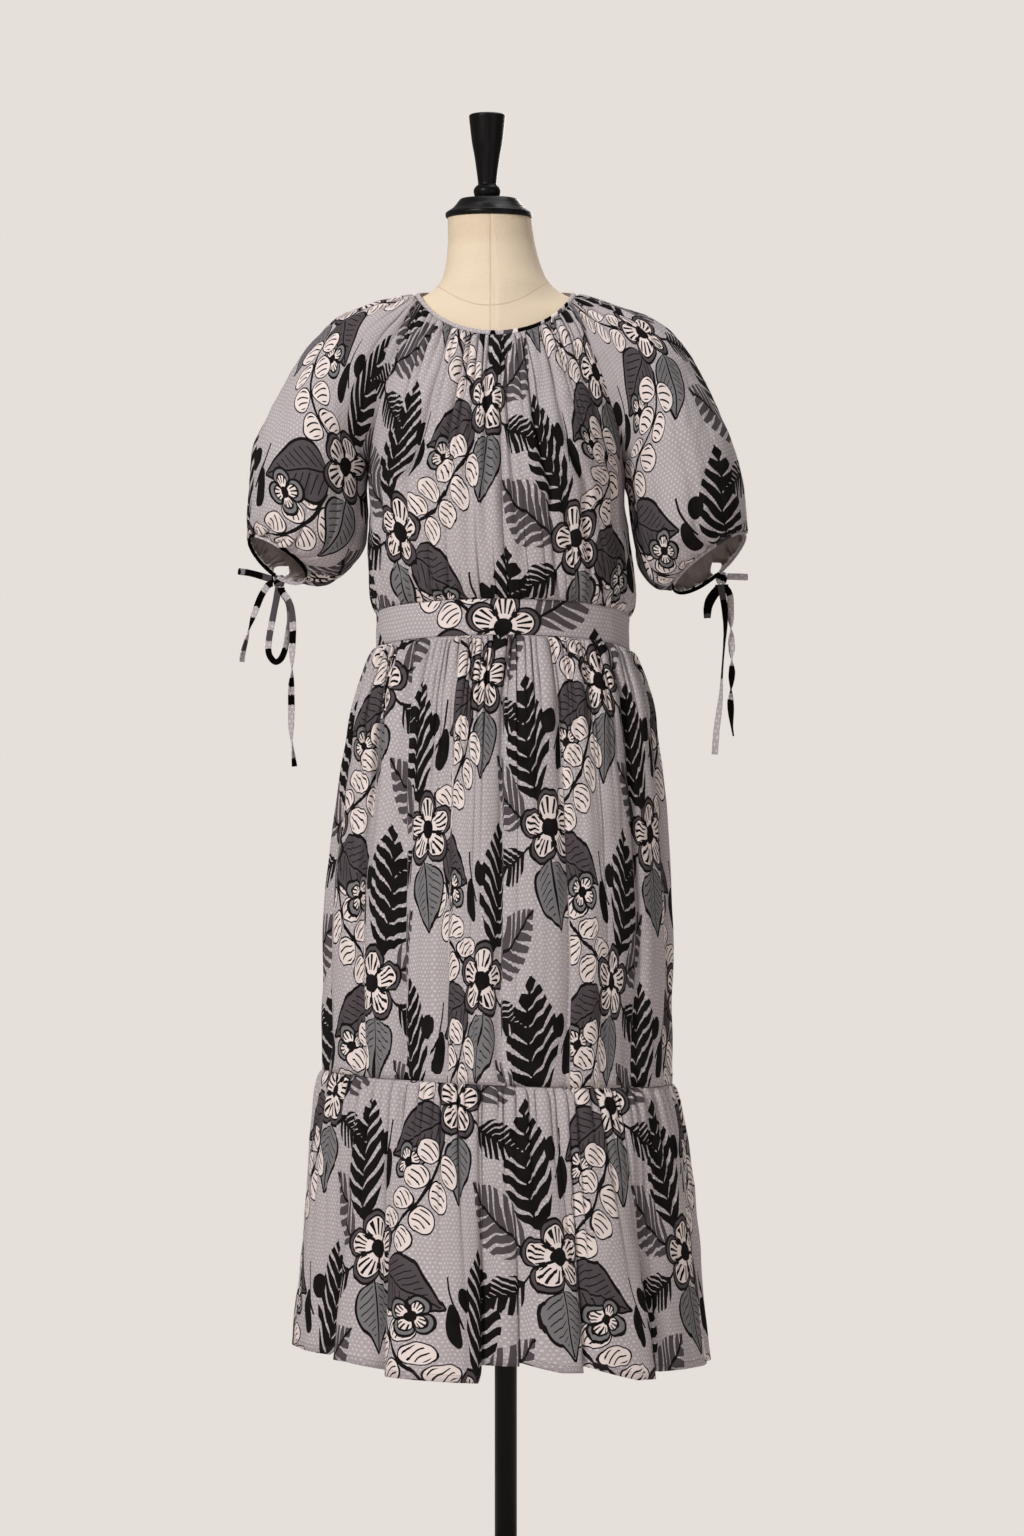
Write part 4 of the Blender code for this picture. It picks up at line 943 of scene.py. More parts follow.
foldShape = {"round": 0.6, "level": 0.70, "seam": 0.004}
# Folds side by side along a seam. Each has its own width, height and reach down the cloth.
Fold = namedtuple("Fold", "start width height reach")


def foldRun(seed, start, end, widths, heights, reaches):
    chance = random.Random(seed)
    edges = [0.0]
    while edges[-1] < end - start:
        edges.append(edges[-1] + chance.uniform(*widths))
    fit = (end - start) / edges[-1]
    return [Fold(start + low * fit, (high - low) * fit, chance.uniform(*heights), chance.uniform(*reaches))
            for low, high in zip(edges, edges[1:])]


def foldRuns(seed, keys, widths, heights, reaches):
    return {key: foldRun(seed + place, -1, 1, widths, heights, reaches) for place, key in enumerate(keys)}


def foldAt(folds, along, away, tuck):
    # how far the cloth slides along the seam and stands out from it, at a place on the cut
    place = max(0, bisect_right(folds, along, key=lambda one: one.start) - 1)
    fold = folds[place]
    part = clamp((along - fold.start) / fold.width)
    near = (folds[place - 1], fold, folds[(place + 1) % len(folds)])
    before, here, after = [one.height / (1 + (away / one.reach) ** 2) for one in near]
    crease = (before + here) / 2 * (1 - part) + (here + after) / 2 * part
    show = fadeIn(away, foldShape["seam"])
    slide = -tuck * fold.width * math.sin(2 * math.pi * part) / (2 * math.pi)
    rise = here * max(math.sin(math.pi * part), 0.0) ** foldShape["round"]
    return slide * show * here / fold.height, (rise - foldShape["level"] * crease) * show


def layFolds(place, layers):
    # the cloth slides from one run of folds into the next, so that it never crosses itself
    out = 0.0
    for folds, away, tuck in layers:
        slide, rise = foldAt(folds, place, away, tuck)
        place += slide
        out += rise
    return place, out


def crumples(point, layers):
    # each layer has its height, size, seed and how far it is drawn out up and down
    out = 0.0
    for height, size, seed, stretch in layers:
        place = Vector((point.x, point.y, point.z / stretch)) / size
        out += height * noise.noise(place + Vector((seed * 7.3, seed * 3.1, seed * 5.7)))
    return out


def cutPlaces(grid, columns, rows, hidden):
    # where each point lay on the flat cut: across from its middle, down from the top, up from the foot
    widest = max(range(0, rows + 1, 4), key=lambda j: sum(
        (grid[i + 1, j].co - grid[i, j].co).length for i in range(columns)))
    across = [0.0]
    for i in range(columns):
        step = (grid[i + 1, widest].co - grid[i, widest].co).length
        across.append(across[-1] + step + (hidden(i / columns * 2 - 1) if hidden else 0.0))
    places = {}
    for i in range(columns + 1):
        down = [0.0]
        for j in range(rows):
            down.append(down[-1] + (grid[i, j + 1].co - grid[i, j].co).length)
        for j in range(rows + 1):
            places[grid[i, j]] = (across[i] - across[-1] / 2, down[j], down[-1] - down[j])
    return places


def clothGrid(columns, rows, surface, relief, middle, drape=None, easing=1.0, hidden=None):
    # surface is the smooth base; drape slides the cloth over it, lifts it and stands it out in folds;
    # relief adds the crumples; the cut's coordinates go into a UV map
    bm = bmesh.new()
    bmesh.ops.create_grid(bm, x_segments=columns, y_segments=rows, size=1.0)
    grid = {}
    for vert in bm.verts:
        i = round((vert.co.x + 1) * columns / 2)
        j = round((1 - vert.co.y) * rows / 2)
        grid[i, j] = vert
        vert.co = surface(i / columns * 2 - 1, (j / rows) ** easing)
    bm.normal_update()
    outward = sum(face.normal.dot(face.calc_center_median() - middle) for face in bm.faces)
    if outward < 0:
        bmesh.ops.reverse_faces(bm, faces=bm.faces)
        bm.normal_update()
    normals = {key: vert.normal.copy() for key, vert in grid.items()}
    for (i, j), vert in grid.items():
        u = i / columns * 2 - 1
        t = (j / rows) ** easing
        normal = normals[i, j]
        out = 0.0
        if drape:
            slid, out, lift = drape(u, t)
            vert.co = surface(slid, t)
            vert.co.z += lift
            column = clamp((slid + 1) * columns / 2, 0.0, columns - 0.001)
            normal = normals[int(column), j].lerp(normals[int(column) + 1, j], column % 1)
        vert.co += normal * (out + relief(u, t, vert.co.copy()))
    places = cutPlaces(grid, columns, rows, hidden)
    layCut(bm, "cut", lambda vert: (places[vert][0], -places[vert][1]))
    layCut(bm, "edge", lambda vert: places[vert][1:])
    return bm, grid


def clothPanel(node, bm, material, wall):
    print(node, "area", round(sum(face.calc_area() for face in bm.faces), 4))
    piece = meshObject(node + "_cloth", bm, material, cottonBack)
    thicken(piece, wall, lining=1)
    standFor(piece, "printed_cotton", node)
    return piece


Pleat = namedtuple("Pleat", "top foot depth width lean reach")
skirtPleats = table(  # knife-like folds: where each starts and ends, in degrees from the front
    Pleat,
    (-58, -47, 0.0110, 4.2, 0.9, 0.10),
    (-41, -34, 0.0120, 3.8, -0.9, 0.03),
    (1, 1.5, 0.0130, 3.6, 0.9, 0.02),
    (56, 48, 0.0110, 4.2, -0.9, 0.06),
    (20, 24, 0.0060, 5.0, -0.5, 0.22),
    (-19, -17, 0.0055, 5.0, 0.5, 0.25),
    (80, 74, 0.0080, 4.6, -0.6, 0.15),
    (-80, -76, 0.0080, 4.6, 0.6, 0.12),
    (112, 118, 0.0110, 4.4, -0.8, 0.06),
    (150, 152, 0.0120, 4.0, 0.8, 0.04),
    (188, 186, 0.0110, 4.4, -0.8, 0.05),
    (222, 226, 0.0110, 4.4, 0.8, 0.06),
    (256, 252, 0.0080, 4.6, -0.6, 0.12),
)
Pipe = namedtuple("Pipe", "turn valleyLift lift recess lean")
flouncePipes = table(
    # the valley where each organ-pipe fold starts, the hem's lift there and on the fold, how far the
    # fold lies back, and its lean
    Pipe,
    (-90, 0.0085, 0.0100, 0.008, -0.2),
    (-52, 0.0190, 0.0065, 0.004, -0.7),
    (-34, 0.0020, -0.0040, 0.000, 0.2),
    (-5.5, 0.0150, 0.0150, 0.010, 0.5),
    (5.0, 0.0190, 0.0090, 0.003, 0.8),
    (21.5, 0.0170, 0.0000, 0.000, 0.9),
    (44.5, 0.0090, 0.0070, 0.003, 0.3),
    (80, 0.0080, 0.0060, 0.009, 0.0),
    (106, 0.0120, 0.0020, 0.000, -0.7),
    (129, 0.0150, 0.0070, 0.003, -0.8),
    (149, 0.0120, 0.0010, 0.000, -0.4),
    (172, 0.0150, 0.0060, 0.004, 0.2),
    (194, 0.0130, 0.0015, 0.000, 0.7),
    (219, 0.0150, 0.0065, 0.002, 0.8),
    (243, 0.0100, 0.0030, 0.005, 0.4),
    (270, 0.0085, 0.0100, 0.008, -0.2),
)
pipeLeans = [((a.turn + b.turn) / 2, a.lean) for a, b in zip(flouncePipes, flouncePipes[1:])]
pipeLeans = [(pipeLeans[-1][0] - 360, pipeLeans[-1][1]), *pipeLeans, (pipeLeans[0][0] + 360, pipeLeans[0][1])]
waistGathers = foldRun(11, -90, 270, (2.2, 3.8), (0.0040, 0.0076), (0.030, 0.090))
waistFolds = foldRun(12, -90, 270, (6.5, 11.0), (0.0035, 0.0070), (0.090, 0.220))
skirtFolds = foldRun(13, -90, 270, (14.0, 26.0), (0.0030, 0.0065), (0.400, 0.900))
footGathers = foldRun(14, -90, 270, (4.0, 8.0), (0.0006, 0.0014), (0.010, 0.030))
flounceGathers = foldRun(15, -90, 270, (2.2, 3.7), (0.0046, 0.0080), (0.022, 0.070))
flounceFolds = foldRun(16, -90, 270, (5.0, 9.0), (0.0040, 0.0080), (0.070, 0.180))


# How far a pleat's wander, lean and look reach, in degrees, and the cloth that it hides, in metres
pleatShape = {"reach": 36, "wander": 12, "lean": 9, "steady": 0.4, "power": 1.5, "start": 0.12, "end": 0.05,
              "ebb": 0.45, "hides": 0.030}
# Degrees that a fold leans over for each metre that it stands out
leans = {"skirt": 350, "flounce": 280}


def placeDown(rows, down):
    low = 0.0
    high = len(rows) - 1.0
    for halving in range(26):
        middle = (low + high) / 2
        if rowAt(rows, middle).down < down:
            low = middle
        else:
            high = middle
    return (low + high) / 2


def pleatAt(degrees, t):
    # how far the cloth wanders with the pleats, how deep they are and which way they lean
    wander = 0.0
    depth = 0.0
    lean = 0.0
    weight = pleatShape["steady"]
    for pleat in skirtPleats:
        off = (degrees - (pleat.top + pleat.foot) / 2 + 180) % 360 - 180
        if abs(off) < pleatShape["reach"]:
            wander += (pleat.foot - pleat.top) * (t - 0.5) * bell(off, pleatShape["wander"])
            show = clamp((t - pleat.reach * 0.4) / pleatShape["start"]) * (1 - pleatShape["ebb"] * t)
            show *= min(1.0, (1 - t) / pleatShape["end"])
            depth += pleat.depth * show * math.exp(-abs(off / pleat.width) ** pleatShape["power"])
            near = bell(off, pleatShape["lean"])
            lean += pleat.lean * near
            weight += near
    return wander, depth, lean / weight


def hiddenCloth(pleats, degrees, step):
    # what a knife fold hides of the cut, gathered into the column at the bottom of the fold
    for pleat in pleats:
        off = (degrees - (pleat.top + pleat.foot) / 2 + 180) % 360 - 180
        if -step / 2 <= off < step / 2:
            return pleatShape["hides"]
    return 0.0


pipeShape = {"tuck": 0.5, "valley": -0.0165, "crest": 0.0085, "fullWidth": 22.0, "narrowLoss": 0.012,
             "round": 0.65, "leaning": 0.3, "wideSide": 0.45, "steepSide": 0.12}


def pipeAt(place, t):
    # organ-pipe folds: how far the cloth slides, how far it stands out of the valleys, the hem's lift
    for start, end in zip(flouncePipes, flouncePipes[1:]):
        if place <= end.turn:
            break
    width = end.turn - start.turn
    part = clamp((place - start.turn) / width)
    show = min(1.0, t * 1.3) ** 1.3
    valley = pipeShape["valley"]
    height = pipeShape["crest"] - pipeShape["narrowLoss"] * (1 - min(1.0, width / pipeShape["fullWidth"]))
    rise = (height - start.recess - valley) * max(math.sin(math.pi * part), 0.0) ** pipeShape["round"]
    slide = -pipeShape["tuck"] * width * math.sin(2 * math.pi * part) / (2 * math.pi)
    wide, steep = pipeShape["wideSide"], pipeShape["steepSide"]
    left = max(0.0, 1 - part / (wide if start.lean > pipeShape["leaning"] else steep))
    right = max(0.0, 1 - (1 - part) / (wide if start.lean < -pipeShape["leaning"] else steep))
    lift = start.lift + (start.valleyLift - start.lift) * left + (end.valleyLift - start.lift) * right
    return slide * show, rise * show, valley * show, lift * t**2


def pipeLean(place):
    for low, high in zip(pipeLeans, pipeLeans[1:]):
        if place <= high[0]:
            break
    return low[1] + (high[1] - low[1]) * (place - low[0]) / (high[0] - low[0])


def drapeSkirt(degrees, t, length):
    away = t * length
    wander, depth, lean = pleatAt(degrees, t)
    place, out = layFolds(degrees + wander, (
        (waistGathers, away, 0.75), (waistFolds, away, 0.75), (skirtFolds, away, 0.4),
        (footGathers, length - away, 0.6)))
    out -= depth
    return place + lean * out * leans["skirt"], out, 0.0


def drapeFlounce(degrees, t, length):
    away = t * length
    place, out = layFolds(degrees, ((flounceGathers, away, 0.75), (flounceFolds, away, 0.7)))
    slide, rise, valley, lift = pipeAt(place, t)
    lean = pipeLean(place) * (out + rise) * leans["flounce"]
    return place + slide + lean, out + rise + valley, lift


tiers = {
    "skirt": {
        "rows": skirtRows, "top": bandBottom, "foot": tierSeam, "drape": drapeSkirt, "pleats": skirtPleats,
        "length": 0.473, "columns": 400, "lines": 64, "easing": 1.35, "wall": 0.0009,
        "topDip": 0.0006, "footDip": 0.0004, "crumples": ((0.0050, 0.070, 1, 2.6), (0.0018, 0.022, 2, 2.0)),
    },
    "flounce": {
        "rows": flounceRows, "top": tierSeam, "foot": hemLine, "drape": drapeFlounce, "pleats": (),
        "length": 0.304, "columns": 400, "lines": 52, "easing": 1.25, "wall": 0.0009,
        "topDip": 0.0005, "footDip": 0.0, "crumples": ((0.0045, 0.060, 3, 2.4), (0.0015, 0.020, 4, 1.8)),
    },
}


def makeTier(kind, half):
    tier = tiers[kind]
    middle = 0.0 if half == "front" else 180.0
    length = tier["length"]
    places = {}

    def surface(u, t):
        if t not in places:
            places[t] = placeDown(tier["rows"], t)
        return tierPoint(tier["rows"], tier["top"], tier["foot"], math.radians(middle + u * 90), places[t])

    def drape(u, t):
        place, out, lift = tier["drape"](middle + u * 90, t, length)
        return (place - middle) / 90, out, lift

    def relief(u, t, point):
        down = t * length
        up = length - down
        calm = fadeIn(down, 0.03)
        if tier["footDip"]:  # sewn at its foot too
            calm *= fadeIn(up, 0.02)
        dip = tier["topDip"] * fadeOut(down, 0.002) + tier["footDip"] * fadeOut(up, 0.002)
        return calm * crumples(point, tier["crumples"]) - dip

    def hidden(u):
        return hiddenCloth(tier["pleats"], middle + u * 90, 180 / tier["columns"])

    bm = clothGrid(tier["columns"], tier["lines"], surface, relief, Vector((0.0, 0.0, 0.5)), drape,
                   tier["easing"], hidden)[0]
    return clothPanel(kind + "_" + half, bm, cotton[kind + half.title()], tier["wall"])


bodice = {"columns": 300, "lines": 72, "wall": 0.0009, "length": 0.30, "seamCalm": 0.05,
          "creaseRound": 1.4, "lip": 0.45, "lipOff": 2.2, "lipWidth": 1.3,
          "blouse": 0.0020, "beltDip": 0.0005, "sway": 0.55,
          "crumples": ((0.0048, 0.055, 5, 2.2), (0.0018, 0.020, 6, 1.8), (0.0005, 0.009, 7, 1.0))}
Crease = namedtuple("Crease", "u top foot depth width")
bodiceCreases = {  # long soft creases: across (-1 to 1), where they start and end, in rows
    "front": table(
        Crease,
        (-0.155, 1.5, 9.2, 0.0040, 0.020),
        (-0.056, 0.0, 8.6, 0.0036, 0.016),
        (0.020, 2.0, 9.6, 0.0044, 0.016),
        (0.082, 0.0, 7.4, 0.0036, 0.016),
        (-0.33, 0.5, 8.8, 0.0034, 0.024),
        (0.27, 0.0, 8.4, 0.0036, 0.024),
        (0.46, 2.5, 9.2, 0.0036, 0.028),
        (-0.52, 2.0, 9.4, 0.0038, 0.028),
        (-0.74, 4.5, 9.6, 0.0034, 0.028),
        (0.72, 4.8, 9.6, 0.0034, 0.028),
    ),
    "back": table(
        Crease,
        (-0.20, 0.5, 9.4, 0.0042, 0.020),
        (0.00, 0.0, 8.8, 0.0038, 0.018),
        (0.17, 0.4, 9.2, 0.0040, 0.018),
        (-0.44, 1.5, 9.4, 0.0036, 0.026),
        (0.42, 1.0, 9.2, 0.0036, 0.026),
        (0.70, 4.5, 9.6, 0.0034, 0.028),
        (-0.70, 4.5, 9.6, 0.0034, 0.028),
    ),
}
neckGathers = foldRuns(21, halves, (0.060, 0.105), (0.0048, 0.0092), (0.025, 0.095))
neckFolds = foldRuns(23, halves, (0.15, 0.27), (0.0030, 0.0062), (0.09, 0.22))
beltGathers = foldRuns(25, halves, (0.022, 0.038), (0.0020, 0.0042), (0.012, 0.040))
beltFolds = foldRuns(27, halves, (0.05, 0.11), (0.0030, 0.0060), (0.040, 0.12))


def makeBodice(half):
    last = len(bodiceRows[half]) - 1
    length = bodice["length"]

    def surface(u, t):
        return bodicePoint(half, clamp(u, -1.0), t * last)

    def drape(u, t):
        down = t * length
        up = (1 - t) * length
        slid, out = layFolds(u, ((neckGathers[half], down, 0.75), (neckFolds[half], down, 0.6),
                                 (beltGathers[half], up, 0.7), (beltFolds[half], up, 0.6)))
        out *= min(1.0, (1 - abs(u)) / bodice["seamCalm"])
        slid = u + (slid - u + bodice["sway"] * math.sin(4.3 * u + 0.9) * out * 8) * (1 - abs(u) ** 6)
        return clamp(slid, -1.0), out, 0.0

    def relief(u, t, point):
        out = 0.0
        v = t * last
        for crease in bodiceCreases[half]:
            if crease.top <= v <= crease.foot:
                show = math.sin(math.pi * (v - crease.top) / (crease.foot - crease.top)) ** 0.6
                off = abs(u - crease.u) / crease.width
                lip = bodice["lip"] * bell(off - bodice["lipOff"], bodice["lipWidth"])
                out += crease.depth * show * (lip - math.exp(-off ** bodice["creaseRound"]))
        calm = min(1.0, (1 - abs(u)) / bodice["seamCalm"]) * fadeIn(t, 0.06) * fadeIn(1 - t, 0.04)
        bloused = math.exp(-(1 - t - 0.055) ** 2 / 0.0018)
        return (out + calm * crumples(point, bodice["crumples"]) + bodice["blouse"] * bloused
                - bodice["beltDip"] * fadeOut(1 - t, 0.008))

    bm = clothGrid(bodice["columns"], bodice["lines"], surface, relief, Vector((0.0, 0.0, 1.22)), drape)[0]
    return clothPanel("bodice_" + half, bm, cotton["bodice" + half.title()], bodice["wall"])


sleeve = {"columns": 260, "lines": 96, "easing": 0.85, "wall": 0.0009, "length": 0.36, "seamCalm": 0.04,
          "slitCalm": 0.7, "sway": 0.5, "trough": 0.0010, "troughGrowth": 0.05,
          "seamRise": 0.0010, "cuffDip": 0.0004, "neckDip": {"left": 0.0024, "right": 0.0008},
          "crumples": ((0.0060, 0.060, 8, 1.5), (0.0024, 0.024, 9, 1.4), (0.0006, 0.009, 10, 1.0))}
sleeveNeck = foldRuns(31, sides, (0.13, 0.23), (0.0042, 0.0080), (0.03, 0.10))
sleeveCuff = foldRuns(33, sides, (0.045, 0.080), (0.0036, 0.0070), (0.014, 0.045))
sleeveFolds = foldRuns(35, sides, (0.10, 0.20), (0.0028, 0.0062), (0.05, 0.13))


def makeSleeve(side):
    last = len(sleeveRows[side]) - 1
    columns = sleeve["columns"]
    slitColumn = round((cuff["slitTurn"][side] / 180 + 1) / 2 * columns)
    slitU = slitColumn / columns * 2 - 1

    def surface(u, t):
        return sleevePoint(side, clamp(u, -1.0), t * last)

    def drape(u, t):
        down = t * sleeve["length"]
        up = (1 - t) * sleeve["length"]
        slid, out = layFolds(u, ((sleeveNeck[side], down, 0.75), (sleeveCuff[side], up, 0.75),
                                 (sleeveFolds[side], up, 0.6)))
        nearSlit = bell(u - slitU, 0.05) * max(0.0, t * 3 - 2)
        out *= min(1.0, (1 - abs(u)) / sleeve["seamCalm"]) * (1 - sleeve["slitCalm"] * nearSlit)
        out = max(out, -sleeve["trough"] - sleeve["troughGrowth"] * t)  # no trough reaches the form
        perMetre = 4.5 + 20 * fadeOut(t, 0.08) + 5 * t**6
        slid = u + (slid - u + sleeve["sway"] * math.sin(5 * u + 0.4) * out * perMetre) * (1 - abs(u) ** 8)
        return clamp(slid, -1.0), out, 0.0

    def relief(u, t, point):
        calm = min(1.0, (1 - abs(u)) / sleeve["seamCalm"])
        out = calm * fadeIn(t, 0.05) * fadeIn(1 - t, 0.03) * crumples(point, sleeve["crumples"])
        out += calm * sleeve["seamRise"] * fadeOut(t, 0.10) * clamp((abs(u) - 0.6) / 0.2)
        out -= sleeve["neckDip"][side] * bell(t - 0.06, 0.07) * max(0.0, 1 - abs(u) / 0.7)
        return out - sleeve["cuffDip"] * fadeOut(1 - t, 0.006)

    middle = Vector((outwards[side] * 0.19 + sleeveSway, 0.0, 1.24))
    bm, grid = clothGrid(columns, sleeve["lines"], surface, relief, middle, drape, sleeve["easing"])
    openSlit(bm, grid, slitColumn)
    bmesh.ops.remove_doubles(bm, verts=bm.verts, dist=0.00002)
    return clothPanel("sleeve_" + side, bm, cotton["sleeve" + side.title()], sleeve["wall"])


def openSlit(bm, grid, column):
    # the seam line is cut open above the cuff and the two sides are eased apart
    lines = sleeve["lines"]
    foot = grid[column, lines].co.copy()
    rowsUp = [j for j in range(lines, 0, -1) if (grid[column, j].co - foot).length < cuff["slitHeight"]]
    height = (grid[column, min(rowsUp)].co - foot).length
    across = (grid[column + 1, lines].co - grid[column - 1, lines].co).normalized()
    moves = {}
    gaps = {}
    for j in rowsUp:
        rise = (grid[column, j].co - foot).length / height
        half = cuff["slitWidth"] * (0.28 + 0.72 * math.sin(math.pi * min(1.0, rise * 0.8 + 0.16)) ** 0.8)
        half *= 1 - rise**3
        gaps[grid[column, j]] = half
        for off in range(1, cuff["slitSpan"] + 1):
            eased = half * (1 - off / cuff["slitSpan"]) ** 1.6
            moves[grid[column + off, j]] = across * eased
            moves[grid[column - off, j]] = across * -eased
    for vert, move in moves.items():
        vert.co += move
    edgesUp = [edge for edge in bm.edges if edge.verts[0] in gaps and edge.verts[1] in gaps]
    places = [(vert.co.copy(), half) for vert, half in gaps.items()]
    bmesh.ops.split_edges(bm, edges=edgesUp)
    for place, half in places:
        for vert in [vert for vert in bm.verts if (vert.co - place).length < 1e-7]:
            centre = sum((face.calc_center_median() for face in vert.link_faces), Vector())
            centre /= len(vert.link_faces)
            vert.co += across * math.copysign(half, (centre - place).dot(across))


waistband = {"columns": 160, "lines": 20, "wall": 0.0012, "edge": 0.0004, "pucker": 0.00025, "puckers": 260,
             "crumples": ((0.0007, 0.020, 11, 1.0), (0.0004, 0.008, 12, 1.0))}


def makeBand(half):
    start = 0.0 if half == "front" else math.pi

    def surface(u, t):
        return bandPoint(start + u * math.pi / 2, t)

    def relief(u, t, point):
        pucker = waistband["pucker"] * math.sin(u * waistband["puckers"]) * fadeOut(min(t, 1 - t), 0.12)
        return crumples(point, waistband["crumples"]) + pucker

    bm = clothGrid(waistband["columns"], waistband["lines"], surface, relief, Vector((0.0, 0.0, 1.06)))[0]
    piece = clothPanel("waistband_" + half, bm, cotton["band" + half.title()], waistband["wall"])
    softenEdges(piece, waistband["edge"])
    return piece


bindingStrip = {"neckColumns": 280, "cuffColumns": 160, "lines": 6, "wall": 0.0013, "roll": 0.0011,
                "crumples": ((0.0003, 0.010, 13, 1.0), (0.00015, 0.004, 14, 1.0))}


def makeBinding(node, columns, surface, middle, material):
    # the rolled face of a folded strip: rounded over its edges, a little uneven where it is gathered
    def relief(u, t, point):
        roll = math.sin(math.pi * clamp(t, 0.02, 0.98)) ** 0.5 - 0.6
        return bindingStrip["roll"] * roll + crumples(point, bindingStrip["crumples"])

    bm = clothGrid(columns, bindingStrip["lines"], surface, relief, middle)[0]
    print(node, "area", round(sum(face.calc_area() for face in bm.faces), 5))
    piece = meshObject(node + "_strip", bm, material)
    thicken(piece, bindingStrip["wall"])
    subdivide = piece.modifiers.new("smooth", "SUBSURF")
    subdivide.levels = 1
    subdivide.render_levels = 1
    standFor(piece, "binding", node)
    return piece


def makeNeckBinding():
    return makeBinding("neck_binding", bindingStrip["neckColumns"],
                       lambda u, t: neckRing(u * math.pi, 1 - t), Vector((-0.011, 0.0, 1.41)), neckStrip)


def makeCuffBinding(side):
    slit = math.radians(cuff["slitTurn"][side])

    def surface(u, t):
        alpha = slit + math.pi + u * (math.pi - cuff["split"])
        return cuffPoint(side, (alpha + math.pi) % (2 * math.pi) - math.pi, t)

    middle = cuffPoint(side, 0.0, 0.5).lerp(cuffPoint(side, math.pi, 0.5), 0.5)
    return makeBinding("cuff_binding_" + side, bindingStrip["cuffColumns"], surface, middle,
                       cuffStrips[side])


TorsoRow = namedtuple("TorsoRow", "z halfWidth front back power")
torsoRows = table(  # hip to neck; power 2 is an ellipse, less is slimmer at the shoulders
    TorsoRow,
    (0.795, 0.148, 0.092, 0.092, 2.0),
    (0.803, 0.155, 0.102, 0.102, 2.0),
    (0.860, 0.158, 0.110, 0.112, 2.0),
    (0.930, 0.154, 0.110, 0.114, 2.0),
    (0.985, 0.143, 0.106, 0.105, 2.0),
    (1.020, 0.1290, 0.0955, 0.0875, 2.0),
    (1.040, 0.1315, 0.0975, 0.0880, 2.0),
    (1.055, 0.1340, 0.0995, 0.0895, 2.0),
    (1.068, 0.1315, 0.0975, 0.0865, 2.0),
    (1.090, 0.1290, 0.0955, 0.0840, 2.0),
    (1.140, 0.1280, 0.1030, 0.0880, 2.1),
    (1.200, 0.1270, 0.1120, 0.0940, 2.1),
    (1.250, 0.1300, 0.1110, 0.0970, 2.0),
    (1.300, 0.1420, 0.1000, 0.0920, 1.7),
    (1.340, 0.1600, 0.0860, 0.0820, 1.45),
    (1.366, 0.1680, 0.0715, 0.0730, 1.35),
    (1.384, 0.1590, 0.0630, 0.0660, 1.30),
    (1.400, 0.1300, 0.0570, 0.0590, 1.35),
    (1.411, 0.0990, 0.0540, 0.0555, 1.40),
    (1.421, 0.0745, 0.0518, 0.0528, 1.65),
    (1.434, 0.0590, 0.0500, 0.0510, 2.0),
    (1.452, 0.0515, 0.0470, 0.0490, 2.0),
    (1.478, 0.0468, 0.0450, 0.0460, 2.0),
    (1.5036, 0.0450, 0.0440, 0.0450, 2.0),
)
torso = {"columns": 120, "lines": 138, "seamDip": 0.0007, "seamWidth": 0.0012, "seamFrom": 1.3}


def makeTorso():
    bm = bmesh.new()
    bmesh.ops.create_grid(bm, x_segments=torso["columns"], y_segments=torso["lines"], size=1.0)
    for vert in bm.verts:
        row = rowAt(torsoRows, (vert.co.y + 1) / 2 * (len(torsoRows) - 1))
        turn = vert.co.x * math.pi
        side = math.sin(turn)
        ahead = math.cos(turn)
        depth = row.front if ahead > 0 else row.back
        point = swayed(Vector((
            math.copysign(abs(side) ** (2 / row.power), side) * row.halfWidth,
            -math.copysign(abs(ahead) ** (2 / row.power), ahead) * depth,
            row.z,
        )))
        if row.z > torso["seamFrom"]:  # the centre seam sinks a little
            point.y += torso["seamDip"] * bell(turn * depth, torso["seamWidth"])
        vert.co = point
    closeShell(bm)
    piece = meshObject("form_body", bm, linenCover)
    standFor(piece, "linen_cover", "form_torso")
    print("form_body made")


TurnedPoint = namedtuple("TurnedPoint", "radius z")
turnedParts = {
    "form_cap": {
        "x": -0.0182, "material": "blackWood", "slot": "black_wood", "name": "cap_turned",
        "profile": table(
            TurnedPoint,
            (0.0300, 1.5244), (0.0316, 1.5236), (0.0365, 1.5172), (0.0378, 1.5160), (0.0384, 1.5150),
            (0.0447, 1.5108), (0.0462, 1.5098), (0.0469, 1.5085), (0.0470, 1.5066), (0.0466, 1.5048),
            (0.0456, 1.5039),
        ),
    },
    "form_finial": {
        "x": -0.0200, "material": "blackWood", "slot": "black_wood", "name": "finial_turned",
        "profile": table(
            TurnedPoint,
            (0.0040, 1.6176), (0.0120, 1.6170), (0.0176, 1.6160), (0.0196, 1.6144), (0.0196, 1.6120),
            (0.0190, 1.6060), (0.0173, 1.5910), (0.0160, 1.5820), (0.0139, 1.5710), (0.0115, 1.5540),
            (0.0101, 1.5430), (0.0100, 1.5404), (0.0108, 1.5392), (0.0130, 1.5374), (0.0146, 1.5345),
            (0.0148, 1.5318), (0.0140, 1.5284), (0.0130, 1.5262), (0.0140, 1.5255), (0.0142, 1.5247),
        ),
    },
    "stand_base": {
        "x": 0.0, "material": "blackMetal", "slot": "black_metal", "name": "base_turned",
        "profile": table(
            TurnedPoint,
            (0.0125, 0.0380), (0.0235, 0.0379), (0.0262, 0.0368), (0.0272, 0.0345), (0.0282, 0.0260),
            (0.0300, 0.0228), (0.0360, 0.0212), (0.0600, 0.0180), (0.1200, 0.0145), (0.1580, 0.0121),
            (0.1665, 0.0108), (0.1694, 0.0085), (0.1700, 0.0060), (0.1700, 0.0018), (0.1688, 0.0000),
        ),
    },
}


lathe = {"stepsEach": 3, "segments": 96, "smoothAngle": 35}


